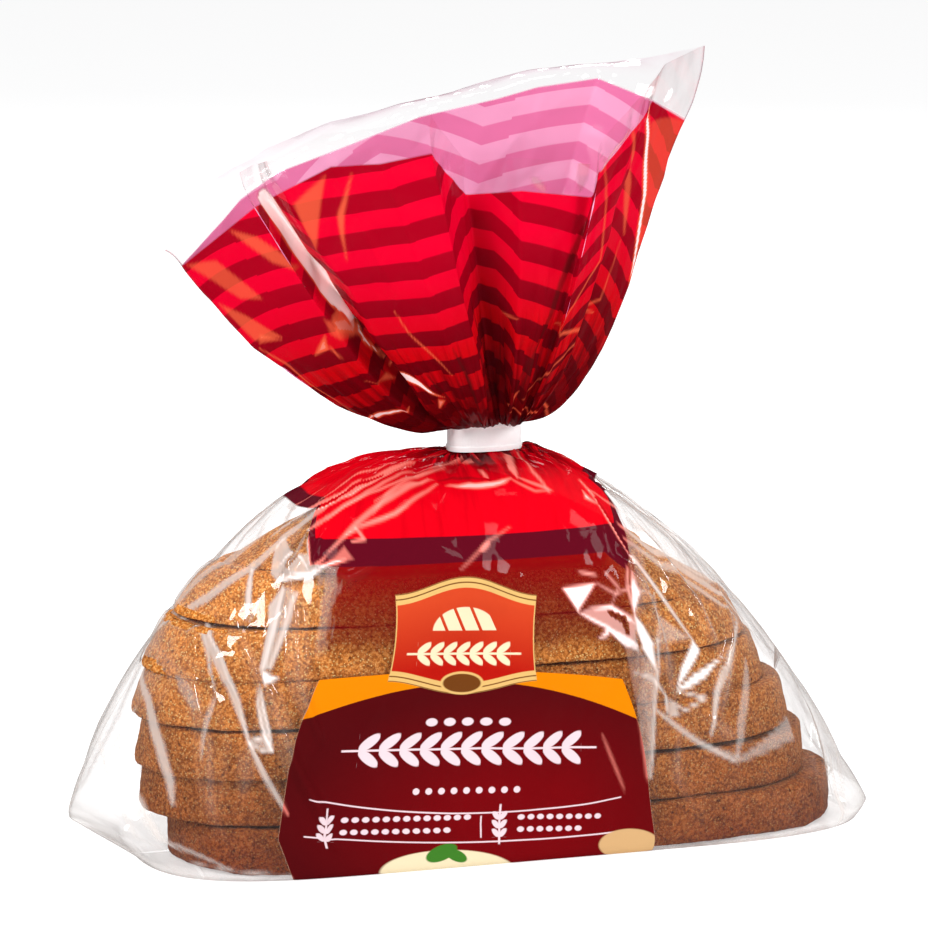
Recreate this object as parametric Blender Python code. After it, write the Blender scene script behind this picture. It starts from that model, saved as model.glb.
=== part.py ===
"""A sliced half loaf shut in a clear bread bag, in metres, with +Z up and the printed front facing -Y.

The bag is one closed body. It stands on its flat gusseted base, wraps the half loaf, is gathered into a narrow
neck, and opens above the neck into a wide pleated mouth, which is a thin funnel. The clip is a band round the neck.
The origin is on the floor, straight below the neck.
"""

import math

import bmesh
import bpy
from mathutils import Vector

MM = 0.001

AROUND = 96                      # points in each ring of the bag

# The body of the bag: how far it reaches from the neck's axis, and where its shoulders end.
SHOULDER_TOP = 106.2 * MM
REACH_LEFT = 99.0 * MM
REACH_RIGHT = 105.0 * MM
REACH_FRONT = 41.5 * MM
REACH_BACK = 45.0 * MM
# A superellipse exponent for each side's outline: high is boxy, low is close to a straight slope.
BULGE_LEFT = 2.4
BULGE_RIGHT = 1.4
BULGE_FRONT = 3.2
BULGE_BACK = 1.7
# The gusset's folded corners, which stick out at both ends: their reach, and the heights of their tip and top.
EAR_LEFT = 19.0 * MM
EAR_LEFT_TIP = 12.0 * MM
EAR_LEFT_TOP = 76.0 * MM
EAR_RIGHT = 4.0 * MM
EAR_RIGHT_TIP = 4.0 * MM
EAR_RIGHT_TOP = 16.0 * MM
FLOOR_ROUND = 2.0 * MM           # rounding between the flat base and the walls
# Plan outlines, as superellipse exponents along and across the bag: an oblong base, pointed ends at the ears'
# height, and a neck with flat faces.
PLAN_ALONG_FLOOR = 6.0
PLAN_ACROSS_FLOOR = 3.0
PLAN_ACROSS_EARS = 1.35
PLAN_NECK = 2.6
BODY_RINGS = 19

# Folds that run down the shoulders from the neck.
SHOULDER_FOLDS = 13
SHOULDER_FOLD_DEPTH = 2.0 * MM

NECK_HALF_WIDTH = 9.5 * MM
NECK_HALF_DEPTH = 4.6 * MM

CLIP_GAP = 0.3 * MM
CLIP_WALL = 0.5 * MM
CLIP_HEIGHT = 8.0 * MM
CLIP_RIDGE = 0.35 * MM           # the wires along both edges stand out this far
CLIP_RIDGE_HEIGHT = 1.2 * MM
CLIP_AROUND = 64
CLIP_BOTTOM = SHOULDER_TOP + CLIP_GAP
CLIP_TOP = CLIP_BOTTOM + CLIP_HEIGHT

MOUTH_START = CLIP_TOP + CLIP_GAP
MOUTH_RINGS = 13                 # up to the print's end
FUNNEL_RINGS = 9                 # the hollow's, down from the print's end
MOUTH_WALL = 1.3 * MM            # much thicker than the real film, so that the solid can be built
PRINT_ENDS = 0.87                # share of the way to the rim where the film's clear margin begins
# The open mouth: lines of film from the neck to the rim, in millimetres. Each has two points that pull its curve, the
# point where the print ends, and the rim. They run from the left corner along the front to the right corner.
FRONT_LINES = (
    ((-38, 0, 113), (-62, 3, 131), (-83.0, 4, 160.6), (-87.9, 4, 164.9)),
    ((-34, -9, 113.5), (-58, -12, 140), (-74.3, -8, 171.0), (-80, -9, 178)),
    ((-28, -17, 115), (-50, -27, 145), (-68.8, -18, 178.6), (-73, -19, 188)),
    ((-20, -17, 117), (-45, -23, 150), (-63.2, -15, 180.0), (-67, -16, 189)),
    ((-20, -21, 117), (-42, -33, 150), (-62.8, -24, 183.2), (-67, -26, 192)),
    ((-15, -24, 118), (-34, -42, 150), (-52.6, -35, 190.9), (-55, -37, 200)),
    ((-10, -26, 118), (-26, -45, 150), (-41.1, -42, 192.2), (-43, -44, 202)),
    ((-6, -26, 118), (-18, -45, 152), (-28.4, -45, 194.7), (-29, -46, 205)),
    ((-3, -20, 119), (-9, -33, 150), (-14.5, -33, 182.0), (-15, -34, 191)),
    ((0, -24, 117), (-1, -38, 148), (-1.4, -37, 182.7), (-1, -39, 192)),
    ((5, -20, 118), (8, -32, 146), (16.0, -31, 179.0), (17, -32, 188)),
    ((9, -24, 117), (17, -36, 150), (23.5, -36, 187.0), (25, -37, 196)),
    ((14, -24, 116), (23, -30, 152), (33.4, -26, 196.3), (36, -27, 206)),
    ((22, -14, 115), (30, -16, 154), (43.3, -12, 202.0), (47, -12, 212)),
    ((44, 0, 113), (40, 2, 150), (58.7, 4, 194.1), (64.4, 6, 214.3)),
)
# The same from the right corner along the back to the left corner, which both share with the front.
BACK_LINES = (
    FRONT_LINES[-1],
    ((26, 10, 118), (36, 14, 158), (52.2, 14, 198.9), (60, 22, 211)),
    ((14, 15, 120), (26, 26, 160), (41.0, 26, 203.7), (45, 36, 207)),
    ((6, 17, 121), (14, 27, 160), (23.9, 28, 201.6), (28, 38, 205)),
    ((2, 17, 121), (6, 27, 160), (12.0, 28, 198.7), (15, 38, 203)),
    ((-4, 17, 121), (-8, 26, 158), (-10.2, 27, 194.7), (-7, 38, 198.5)),
    ((-10, 15, 119), (-22, 22, 152), (-31.0, 24, 188.2), (-34, 34, 194)),
    ((-18, 11, 117), (-38, 17, 146), (-52.4, 18, 182.5), (-54, 27, 188)),
    ((-26, 7, 115), (-50, 12, 140), (-64.9, 13, 176.1), (-70, 20, 181)),
    FRONT_LINES[0],
)


def material(name, colour, roughness, metallic=0.0):
    """A plain finish."""
    made = bpy.data.materials.new(name)
    made.use_nodes = True
    shader = made.node_tree.nodes["Principled BSDF"]
    shader.inputs["Base Color"].default_value = (*colour, 1.0)
    shader.inputs["Roughness"].default_value = roughness
    shader.inputs["Metallic"].default_value = metallic
    return made


def angles(count):
    """count angles round a ring, starting at +X."""
    return [2 * math.pi * i / count for i in range(count)]


def signed_power(value, power):
    """value to a power, keeping its sign."""
    return math.copysign(abs(value) ** power, value)


def mix(start, end, share):
    """The value at that share of the way from start to end."""
    return start + (end - start) * share


def tent(turns):
    """A folded, not rounded, wave from -1 to 1 with one crest in each turn."""
    return 1 - 4 * abs((turns % 1.0) - 0.5)


def side_reach(full, neck, bulge, height):
    """How far a side reaches at that height: full at the floor, neck at the shoulder's top."""
    return neck + (full - neck) * max(0.0, 1 - (height / SHOULDER_TOP) ** bulge) ** (1 / bulge)


def ear_reach(size, tip, top, height):
    """How far a folded corner adds to its side at that height."""
    if height < tip:
        return size * height / tip
    return size * max(0.0, top - height) / (top - tip)


def body_ring(height):
    """The bag's outline at that height, between the floor and the neck."""
    left = side_reach(REACH_LEFT, NECK_HALF_WIDTH, BULGE_LEFT, height)
    left += ear_reach(EAR_LEFT, EAR_LEFT_TIP, EAR_LEFT_TOP, height)
    right = side_reach(REACH_RIGHT, NECK_HALF_WIDTH, BULGE_RIGHT, height)
    right += ear_reach(EAR_RIGHT, EAR_RIGHT_TIP, EAR_RIGHT_TOP, height)
    front = side_reach(REACH_FRONT, NECK_HALF_DEPTH, BULGE_FRONT, height)
    back = side_reach(REACH_BACK, NECK_HALF_DEPTH, BULGE_BACK, height)
    share = height / SHOULDER_TOP
    along = mix(PLAN_ALONG_FLOOR, PLAN_NECK, share**1.5)
    if height < EAR_LEFT_TIP:
        across = mix(PLAN_ACROSS_FLOOR, PLAN_ACROSS_EARS, height / EAR_LEFT_TIP)
    else:
        across = mix(PLAN_ACROSS_EARS, PLAN_NECK, share**1.5)
    fold = SHOULDER_FOLD_DEPTH * math.sin(math.pi * min(1.0, share) ** 4)
    ring = []
    for angle in angles(AROUND):
        c, s = math.cos(angle), math.sin(angle)
        x = signed_power(c, 2 / along) * (right if c > 0 else left)
        y = signed_power(s, 2 / across) * (back if s > 0 else front)
        inwards = -Vector((x, y, 0)).normalized()
        depth = fold * (0.5 + 0.5 * tent(SHOULDER_FOLDS * angle / (2 * math.pi)))
        ring.append(Vector((x, y, height)) + depth * inwards)
    return ring


def draw_in(ring, distance):
    """The ring moved in by distance in plan, square to its own line."""
    moved = []
    for i, point in enumerate(ring):
        line = ring[(i + 1) % len(ring)] - ring[i - 1]
        moved.append(point + distance * Vector((-line.y, line.x, 0)).normalized())
    return moved


def lining(ring):
    """The inside of a mouth's ring: every side moved in by the wall in plan, with the corners where the sides meet."""
    moved = []
    for i, point in enumerate(ring):
        before = point - ring[i - 1]
        after = ring[(i + 1) % len(ring)] - point
        first = Vector((-before.y, before.x, 0)).normalized()
        second = Vector((-after.y, after.x, 0)).normalized()
        moved.append(point + MOUTH_WALL * (first + second) / max(0.5, 1 + first.dot(second)))
    return moved


def neck_ring(gap, height, count):
    """A level ring with flat faces and round ends, gap outside the neck."""
    ring = []
    for angle in angles(count):
        x = signed_power(math.cos(angle), 2 / PLAN_NECK) * (NECK_HALF_WIDTH + gap)
        y = signed_power(math.sin(angle), 2 / PLAN_NECK) * (NECK_HALF_DEPTH + gap)
        ring.append(Vector((x, y, height)))
    return ring


def spread_lines(lines, count):
    """count lines of film, evenly spaced along the print's end over the given ones; the last one is left out."""
    marks = [[Vector(point) * MM for point in line] for line in lines]
    reach = [0.0]
    for this, after in zip(marks, marks[1:]):
        reach.append(reach[-1] + (after[2] - this[2]).length)
    spread = []
    for i in range(count):
        wanted = reach[-1] * i / count
        at = max(k for k in range(len(marks) - 1) if reach[k] <= wanted)
        part = (wanted - reach[at]) / (reach[at + 1] - reach[at])
        spread.append([this.lerp(after, part) for this, after in zip(marks[at], marks[at + 1])])
    return spread


def on_line(start, line, share):
    """The point at that share of a line of film from start: a cubic curve to the print's end, then straight on."""
    first, second, edge, rim = line
    if share > PRINT_ENDS:
        return edge.lerp(rim, (share - PRINT_ENDS) / (1 - PRINT_ENDS))
    t = share / PRINT_ENDS
    s = 1 - t
    return s**3 * start + 3 * s * s * t * first + 3 * s * t * t * second + t**3 * edge


def mouth_ring(share):
    """The mouth's ring at that share of the way from the neck to the rim, starting at the right corner."""
    lines = spread_lines(BACK_LINES, AROUND // 2) + spread_lines(FRONT_LINES, AROUND // 2)
    starts = neck_ring(0.0, MOUTH_START, AROUND)
    return [on_line(start, line, share) for start, line in zip(starts, lines)]


def loft(name, rings, closed_ends):
    """An object whose skin runs through the rings in order, and is closed by two ends or back to its start."""
    mesh = bpy.data.meshes.new(name)
    build = bmesh.new()
    rows = [[build.verts.new(point) for point in ring] for ring in rings]
    count = len(rings[0])
    pairs = list(zip(rows, rows[1:]))
    if not closed_ends:
        pairs.append((rows[-1], rows[0]))
    for lower, upper in pairs:
        for i in range(count):
            j = (i + 1) % count
            build.faces.new((lower[i], lower[j], upper[j], upper[i]))
    if closed_ends:
        build.faces.new(rows[0])
        bmesh.ops.poke(build, faces=[build.faces.new(rows[-1])])
    bmesh.ops.triangulate(build, faces=build.faces)
    bmesh.ops.recalc_face_normals(build, faces=build.faces)
    build.to_mesh(mesh)
    build.free()
    made = bpy.data.objects.new(name, mesh)
    bpy.context.scene.collection.objects.link(made)
    mesh.shade_smooth()
    mesh.set_sharp_from_angle(angle=math.radians(35))
    return made


def make_bag():
    """The shut bag: base, body, neck, and the pleated mouth with its funnel."""
    rise = SHOULDER_TOP - FLOOR_ROUND
    steps = [math.sin(math.pi / 2 * i / BODY_RINGS) for i in range(BODY_RINGS)]
    body = [body_ring(FLOOR_ROUND + rise * step) for step in steps]
    base = [Vector((point.x, point.y, 0)) for point in draw_in(body_ring(0.0), FLOOR_ROUND)]
    neck = neck_ring(0.0, SHOULDER_TOP, AROUND)
    outer = [mouth_ring(PRINT_ENDS * i / MOUTH_RINGS) for i in range(MOUTH_RINGS + 1)] + [mouth_ring(1.0)]
    inner = [lining(ring) for ring in reversed(outer[-FUNNEL_RINGS - 2:])]
    bag = loft("bag", [base, *body, neck, *outer, *inner], closed_ends=True)
    bag.data.materials.append(material("bag film", (0.62, 0.05, 0.06), 0.2))
    return bag


def make_clip():
    """The white band that holds the neck, with a wire's ridge along both edges."""
    wall, proud = CLIP_WALL, CLIP_WALL + CLIP_RIDGE
    profile = [
        (proud, 0.0),
        (proud, CLIP_RIDGE_HEIGHT),
        (wall, CLIP_RIDGE_HEIGHT + CLIP_RIDGE),
        (wall, CLIP_HEIGHT - CLIP_RIDGE_HEIGHT - CLIP_RIDGE),
        (proud, CLIP_HEIGHT - CLIP_RIDGE_HEIGHT),
        (proud, CLIP_HEIGHT),
        (0.0, CLIP_HEIGHT),
        (0.0, 0.0),
    ]
    rings = [neck_ring(CLIP_GAP + out, CLIP_BOTTOM + up, CLIP_AROUND) for out, up in profile]
    clip = loft("clip", rings, closed_ends=False)
    clip.data.materials.append(material("clip plastic", (0.9, 0.87, 0.88), 0.4))
    return clip


def main():
    """Clears the file and builds the two pieces."""
    for old in list(bpy.data.objects):
        bpy.data.objects.remove(old)
    make_bag()
    make_clip()


main()
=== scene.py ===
"""A sliced half loaf in a clear printed bread bag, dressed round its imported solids.

Everything is in metres in the part's own frame: +Z is up, the printed front faces -Y, and the origin is on
the floor below the neck. Sizes are written in millimetres and turned to metres where a mesh is made.
"""

import logging
import math
from dataclasses import dataclass
from enum import Enum

import bmesh
import bpy
import numpy as np
from mathutils import Matrix, Vector
from mathutils.bvhtree import BVHTree
from mathutils.geometry import delaunay_2d_cdt


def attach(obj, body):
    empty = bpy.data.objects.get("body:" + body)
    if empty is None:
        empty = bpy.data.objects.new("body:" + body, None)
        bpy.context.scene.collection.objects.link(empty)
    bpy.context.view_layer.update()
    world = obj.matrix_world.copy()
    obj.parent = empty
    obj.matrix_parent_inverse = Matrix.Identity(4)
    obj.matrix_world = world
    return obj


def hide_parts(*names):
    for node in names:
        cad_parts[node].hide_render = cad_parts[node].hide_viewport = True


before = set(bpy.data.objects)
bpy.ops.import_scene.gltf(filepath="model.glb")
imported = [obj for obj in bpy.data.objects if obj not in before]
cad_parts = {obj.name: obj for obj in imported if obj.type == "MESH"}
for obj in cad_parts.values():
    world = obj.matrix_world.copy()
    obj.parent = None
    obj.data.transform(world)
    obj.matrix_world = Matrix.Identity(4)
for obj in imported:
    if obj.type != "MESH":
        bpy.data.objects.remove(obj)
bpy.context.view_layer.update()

LOG = logging.getLogger("bread_bag")
MM = 0.001
BODY = "root"

Colour = tuple[float, float, float, float]


def srgb(red: float, green: float, blue: float) -> Colour:
    """A display colour, 0 to 255, as the linear colour that shaders use.

    Args:
        red: the red share.
        green: the green share.
        blue: the blue share.

    Returns:
        Linear red, green, blue and an alpha of one.
    """
    linear = [((c / 255 + 0.055) / 1.055) ** 2.4 if c > 10 else c / 255 / 12.92 for c in (red, green, blue)]
    return (*linear, 1.0)


def mix(start: float, end: float, share: float) -> float:
    """The value at that share of the way from start to end."""
    return start + (end - start) * share


def smooth(value: np.ndarray, low: float, high: float) -> np.ndarray:
    """A soft step from 0 at low to 1 at high."""
    share = np.clip((value - low) / (high - low), 0, 1)
    return share * share * (3 - 2 * share)


def soften(grid: np.ndarray) -> np.ndarray:
    """The mean of each value on a wrapped grid and its neighbours, which takes a jagged line's steps out."""
    rows = (np.concatenate([grid[:1], grid[:-1]]) + grid * 2 + np.concatenate([grid[1:], grid[-1:]])) / 4
    return (np.roll(rows, 1, 1) + rows * 2 + np.roll(rows, -1, 1)) / 4


class Field:
    """A number that varies over a surface: a node's output that adds and multiplies like a number."""

    def __init__(self, graph: "Graph", socket: bpy.types.NodeSocket) -> None:
        """Keeps the tree's builder and the output."""
        self.graph = graph
        self.socket = socket

    def __add__(self, other: "Field | float") -> "Field":
        """The sum."""
        return self.graph.math("ADD", self, other)

    __radd__ = __add__

    def __sub__(self, other: "Field | float") -> "Field":
        """The difference."""
        return self.graph.math("SUBTRACT", self, other)

    def __rsub__(self, other: float) -> "Field":
        """A number less this."""
        return self.graph.math("SUBTRACT", other, self)

    def __mul__(self, other: "Field | float") -> "Field":
        """The product."""
        return self.graph.math("MULTIPLY", self, other)

    __rmul__ = __mul__

    def __truediv__(self, other: "Field | float") -> "Field":
        """The quotient."""
        return self.graph.math("DIVIDE", self, other)

    def __rtruediv__(self, other: float) -> "Field":
        """A number over this."""
        return self.graph.math("DIVIDE", other, self)

    def __pow__(self, power: float) -> "Field":
        """This to a power."""
        return self.graph.math("POWER", self, power)


class Graph:
    """Adds nodes to one node tree and links them."""

    def __init__(self, tree: bpy.types.NodeTree) -> None:
        """Keeps the tree."""
        self.tree = tree

    def feed(self, socket: bpy.types.NodeSocket, value: object) -> None:
        """Links a field or output to a socket, or sets a plain value on it.

        Args:
            socket: the input to feed.
            value: a Field, a node output, a number or a tuple.
        """
        if isinstance(value, Field):
            value = value.socket
        if isinstance(value, bpy.types.NodeSocket):
            self.tree.links.new(value, socket)
        else:
            socket.default_value = value

    def node(self, kind: str, inputs: dict | None = None, **settings: object) -> bpy.types.Node:
        """Adds one node.

        Args:
            kind: the node's type.
            inputs: what feeds each input, by its name or number.
            settings: the node's own settings.

        Returns:
            The new node.
        """
        made = self.tree.nodes.new(kind)
        for name, value in settings.items():
            setattr(made, name, value)
        for name, value in (inputs or {}).items():
            self.feed(made.inputs[name], value)
        return made

    def math(self, operation: str, *values: "Field | float", clamp: bool = False) -> Field:
        """One Math node's result.

        Args:
            operation: the node's operation.
            values: its inputs in order.
            clamp: whether the result is kept between 0 and 1.

        Returns:
            The result.
        """
        made = self.node("ShaderNodeMath", dict(enumerate(values)), operation=operation, use_clamp=clamp)
        return Field(self, made.outputs[0])

    def rise(self, value: Field, blur: float) -> Field:
        """A mask that goes from 0 to 1 as value goes from -blur to +blur.

        Args:
            value: the signed distance past the edge.
            blur: half of the edge's softness.

        Returns:
            The mask.
        """
        ends = {"Value": value, "From Min": -blur, "From Max": blur}
        return Field(self, self.node("ShaderNodeMapRange", ends).outputs[0])

    def band(self, value: Field, low: "Field | float", high: "Field | float", blur: float) -> Field:
        """A mask that is 1 where value lies between low and high.

        Args:
            value: the value tested.
            low: the lower edge.
            high: the upper edge.
            blur: half of each edge's softness.

        Returns:
            The mask.
        """
        return self.rise(value - low, blur) * self.rise(high - value, blur)

    def oval(self, across: Field, up: Field, half: tuple[float, float], blur: float) -> Field:
        """A mask of an upright ellipse round the origin.

        Args:
            across: distance from its middle across.
            up: distance from its middle upwards.
            half: its half width and half height.
            blur: half of the edge's softness.

        Returns:
            The mask.
        """
        reach = self.math("SQRT", (across / half[0]) ** 2 + (up / half[1]) ** 2)
        return self.rise((1 - reach) * min(half), blur)

    def turned(self, across: Field, up: Field, degrees: float) -> tuple[Field, Field]:
        """The same place, read on axes turned by that angle.

        Args:
            across: distance across.
            up: distance upwards.
            degrees: how far the axes turn to the left.

        Returns:
            The two distances on the turned axes.
        """
        c, s = math.cos(math.radians(degrees)), math.sin(math.radians(degrees))
        return across * c + up * s, up * c - across * s

    def blend(self, share: "Field | float", first: object, second: object) -> bpy.types.NodeSocket:
        """A colour between two.

        Args:
            share: 0 for the first colour, 1 for the second.
            first: a colour or an output.
            second: a colour or an output.

        Returns:
            The mixed colour's output.
        """
        made = self.node("ShaderNodeMix", {0: share, 6: first, 7: second}, data_type="RGBA")
        return made.outputs[2]

    def noise(self, place: object, per_mm: float, detail: float = 3.0, rough: float = 0.55) -> Field:
        """Cloudy noise from 0 to 1.

        Args:
            place: a vector in millimetres.
            per_mm: how many patches there are to a millimetre.
            detail: how many finer layers it has.
            rough: how strong they are.

        Returns:
            The noise.
        """
        inputs = {"Vector": place, "Scale": per_mm, "Detail": detail, "Roughness": rough}
        return Field(self, self.node("ShaderNodeTexNoise", inputs).outputs[0])

    def cells(self, place: object, per_mm: float) -> Field:
        """The distance to the nearest of scattered points, in cells.

        Args:
            place: a vector in millimetres.
            per_mm: how many cells there are to a millimetre.

        Returns:
            The distance.
        """
        inputs = {"Vector": place, "Scale": per_mm}
        return Field(self, self.node("ShaderNodeTexVoronoi", inputs).outputs["Distance"])

    def edges(self, place: object, scale: float) -> Field:
        """The distance to the nearest border between scattered cells, in cells.

        Args:
            place: a vector in cells.
            scale: how much finer the cells are.

        Returns:
            The distance.
        """
        inputs = {"Vector": place, "Scale": scale}
        settings = {"feature": "DISTANCE_TO_EDGE", "voronoi_dimensions": "2D"}
        return Field(self, self.node("ShaderNodeTexVoronoi", inputs, **settings).outputs["Distance"])

    def vector(self, operation: str, first: object, second: object = None, scale: object = None) -> Field:
        """One Vector Math node's result.

        Args:
            operation: the node's operation.
            first: its first vector.
            second: its second vector, if it has one.
            scale: its scale, if it has one.

        Returns:
            The result.
        """
        inputs = {0: first}
        if second is not None:
            inputs[1] = second
        if scale is not None:
            inputs[3] = scale
        return Field(self, self.node("ShaderNodeVectorMath", inputs, operation=operation).outputs[0])

    def place_mm(self) -> bpy.types.NodeSocket:
        """The piece's own place in millimetres."""
        coords = self.node("ShaderNodeTexCoord").outputs["Object"]
        return self.node("ShaderNodeVectorMath", {0: coords, 3: 1 / MM}, operation="SCALE").outputs[0]

    def map_place(self, name: str) -> tuple[Field, Field]:
        """The two distances, in millimetres, that a UV map holds.

        Args:
            name: the map's name.

        Returns:
            The distance along and the distance down or up.
        """
        split = self.node("ShaderNodeSeparateXYZ", {0: self.node("ShaderNodeUVMap", uv_map=name).outputs[0]})
        return Field(self, split.outputs[0]), Field(self, split.outputs[1])

    def plane(self, across: object, up: object) -> bpy.types.NodeSocket:
        """The place with those two distances, as a vector."""
        return self.node("ShaderNodeCombineXYZ", {0: across, 1: up}).outputs[0]

    def near(self, value: Field, half: float, blur: float) -> Field:
        """A mask that is 1 where value is within that distance of nought."""
        return self.rise(half - self.math("ABSOLUTE", value), blur)

    def attribute(self, name: str) -> Field:
        """A value held on the mesh."""
        return Field(self, self.node("ShaderNodeAttribute", attribute_name=name).outputs["Fac"])

    def bump(self, height: Field, depth: float, under: object = None) -> bpy.types.NodeSocket:
        """A bumped normal.

        Args:
            height: the height from 0 to 1.
            depth: the real depth of the bumps in millimetres.
            under: a normal to build on.

        Returns:
            The normal's output.
        """
        inputs = {"Height": height, "Distance": depth * MM, "Strength": 1.0}
        if under is not None:
            inputs["Normal"] = under
        return self.node("ShaderNodeBump", inputs).outputs[0]


def new_material(name: str) -> tuple[bpy.types.Material, Graph, bpy.types.Node]:
    """An empty material.

    Args:
        name: the material's name.

    Returns:
        The material, its tree's builder and its output node.
    """
    made = bpy.data.materials.new(name)
    made.use_nodes = True
    made.node_tree.nodes.clear()
    graph = Graph(made.node_tree)
    return made, graph, graph.node("ShaderNodeOutputMaterial")


class Effect:
    """An effect that more than one finish uses: a node group that each places with its own values."""

    name: str
    inputs: tuple[str, ...]
    outputs: tuple[str, ...]

    def draw(self, graph: Graph, given: dict[str, Field]) -> tuple[Field, ...]:
        """Adds the group's nodes.

        Args:
            graph: the group's builder.
            given: the group's inputs by name.

        Returns:
            What the group puts out, in the order of its outputs.
        """
        raise NotImplementedError

    def tree(self) -> bpy.types.NodeTree:
        """The node group, built if it isn't there yet.

        Returns:
            The group.
        """
        if self.name in bpy.data.node_groups:
            return bpy.data.node_groups[self.name]
        made = bpy.data.node_groups.new(self.name, "ShaderNodeTree")
        for label in self.inputs:
            kind = "NodeSocketVector" if label == "Place" else "NodeSocketFloat"
            made.interface.new_socket(label, in_out="INPUT", socket_type=kind)
        for label in self.outputs:
            made.interface.new_socket(label, in_out="OUTPUT", socket_type="NodeSocketFloat")
        graph = Graph(made)
        entry = graph.node("NodeGroupInput")
        given = {label: Field(graph, entry.outputs[label]) for label in self.inputs}
        graph.node("NodeGroupOutput", dict(zip(self.outputs, self.draw(graph, given))))
        return made

    def place(self, graph: Graph, **values: object) -> list[Field]:
        """Places the group in a material.

        Args:
            graph: the material's builder.
            values: what feeds each input.

        Returns:
            The group's outputs in order.
        """
        made = graph.node("ShaderNodeGroup", values, node_tree=self.tree())
        return [Field(graph, made.outputs[label]) for label in self.outputs]


class BreadGrain(Effect):
    """The loaf's grain: mottled crumbs, pale specks of bran and open pores."""

    name = "bread_grain"
    inputs = ("Place", "Fineness", "Pores")
    outputs = ("Grain", "Specks", "Holes", "Height")

    def draw(self, graph: Graph, given: dict[str, Field]) -> tuple[Field, ...]:
        """Adds the grain's nodes.

        Args:
            graph: the group's builder.
            given: the place in millimetres, the patches to a millimetre, and the size of the pores.

        Returns:
            The grain, the specks, the holes and the height.
        """
        place = given["Place"]
        grain = graph.noise(place, given["Fineness"], 4, 0.72)
        specks = graph.rise(0.27 - graph.cells(place, given["Fineness"] * 1.05), 0.08)
        specks = specks * graph.rise(graph.noise(place, 0.6, 2) - 0.43, 0.1)
        holes = graph.rise(given["Pores"] - graph.cells(place, 0.42), 0.1)
        height = grain * 0.6 + specks * 0.3 - holes * 0.7
        return grain, specks, holes, height


class FilmCreases(Effect):
    """The crumples of thin film: flat facets that meet at sharp folds."""

    name = "film_creases"
    inputs = ("Place", "Size")
    outputs = ("Height",)

    def draw(self, graph: Graph, given: dict[str, Field]) -> tuple[Field, ...]:
        """Adds the crumples' nodes.

        Args:
            graph: the group's builder.
            given: the place on the flat film in millimetres, and the size of a facet.

        Returns:
            The height.
        """
        return (graph.edges(graph.vector("SCALE", given["Place"], scale=1 / given["Size"]), 1.0),)


@dataclass(frozen=True)
class Crust:
    """The loaf's matt crust: golden above and darker below, partly its own colour and partly painted shade
    on the lower slices, mottled, with pale specks of bran.
    """

    golden: Colour = srgb(236, 142, 54)
    dark: Colour = srgb(98, 44, 14)
    flour: Colour = srgb(255, 216, 142)
    # The low tint darkens the lower crust: partly the crust's own browner colour, partly painted shade.
    low_tint_and_shade: Colour = (0.27, 0.13, 0.07, 1.0)
    high_tint_and_light: Colour = (1.0, 1.0, 1.0, 1.0)
    roughness: float = 0.78

    def build(self) -> bpy.types.Material:
        """The crust's material."""
        made, graph, output = new_material("crust")
        place = graph.place_mm()
        height = Field(graph, graph.node("ShaderNodeSeparateXYZ", {0: place}).outputs[2])
        broad = graph.noise(place, 0.035, 3)
        patch = graph.noise(place, 0.2, 4, 0.6)
        grain, specks, holes, relief = BreadGrain().place(graph, Place=place, Fineness=1.15, Pores=0.14)
        # warm grows with height: it blends from the low tint, which is partly painted shade, to the unshaded
        # top.
        warm = graph.math("ADD", height * 0.0128, broad * 0.4 - 0.2, clamp=True)
        colour = graph.blend(graph.rise(0.46 - patch, 0.14) * 0.45, self.golden, self.dark)
        colour = graph.blend(graph.rise(0.49 - grain, 0.09) * 0.7, colour, self.dark)
        colour = graph.blend(graph.rise(grain - 0.58, 0.08) * 0.35, colour, self.flour)
        # The pores are darkened: painted shade in the holes.
        colour = graph.blend(holes * 0.7, colour, self.dark)
        colour = graph.blend(specks * 0.85, colour, self.flour)
        # Darker towards the bottom: the colour is multiplied by the tint, partly crust colour and partly
        # painted shade.
        colour = graph.vector("MULTIPLY", colour, graph.blend(warm, self.low_tint_and_shade, self.high_tint_and_light))
        shader = graph.node("ShaderNodeBsdfPrincipled", {"Base Color": colour, "Roughness": self.roughness})
        shader.inputs["Specular IOR Level"].default_value = 0.1
        graph.feed(shader.inputs["Normal"], graph.bump(relief + patch * 0.4, 0.6))
        graph.feed(output.inputs[0], shader.outputs[0])
        return made


@dataclass(frozen=True)
class Crumb:
    """A cut face: soft tan crumb with pores, and the crust's brown line along its edge."""

    crumb: Colour = srgb(232, 186, 134)
    pore: Colour = srgb(156, 106, 66)
    crust: Colour = srgb(176, 104, 58)
    crust_depth: float = 1.8
    roughness: float = 0.85

    def build(self) -> bpy.types.Material:
        """The cut face's material."""
        made, graph, output = new_material("crumb")
        place = graph.place_mm()
        depth = graph.attribute("crust_depth")
        inner = graph.rise(depth + graph.noise(place, 0.4, 3) * 1.6 - self.crust_depth - 0.8, 0.7)
        grain, specks, holes, relief = BreadGrain().place(graph, Place=place, Fineness=0.9, Pores=0.34)
        colour = graph.blend(graph.rise(grain - 0.5, 0.2) * 0.5, self.crumb, self.pore)
        # The pores are darkened: painted shade in the holes.
        colour = graph.blend(holes * 0.75, colour, self.pore)
        colour = graph.blend(inner, graph.blend(specks, self.crust, self.crumb), colour)
        shader = graph.node("ShaderNodeBsdfPrincipled", {"Base Color": colour, "Roughness": self.roughness})
        shader.inputs["Specular IOR Level"].default_value = 0.2
        graph.feed(shader.inputs["Normal"], graph.bump(relief, 0.9))
        graph.feed(output.inputs[0], shader.outputs[0])
        return made


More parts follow.
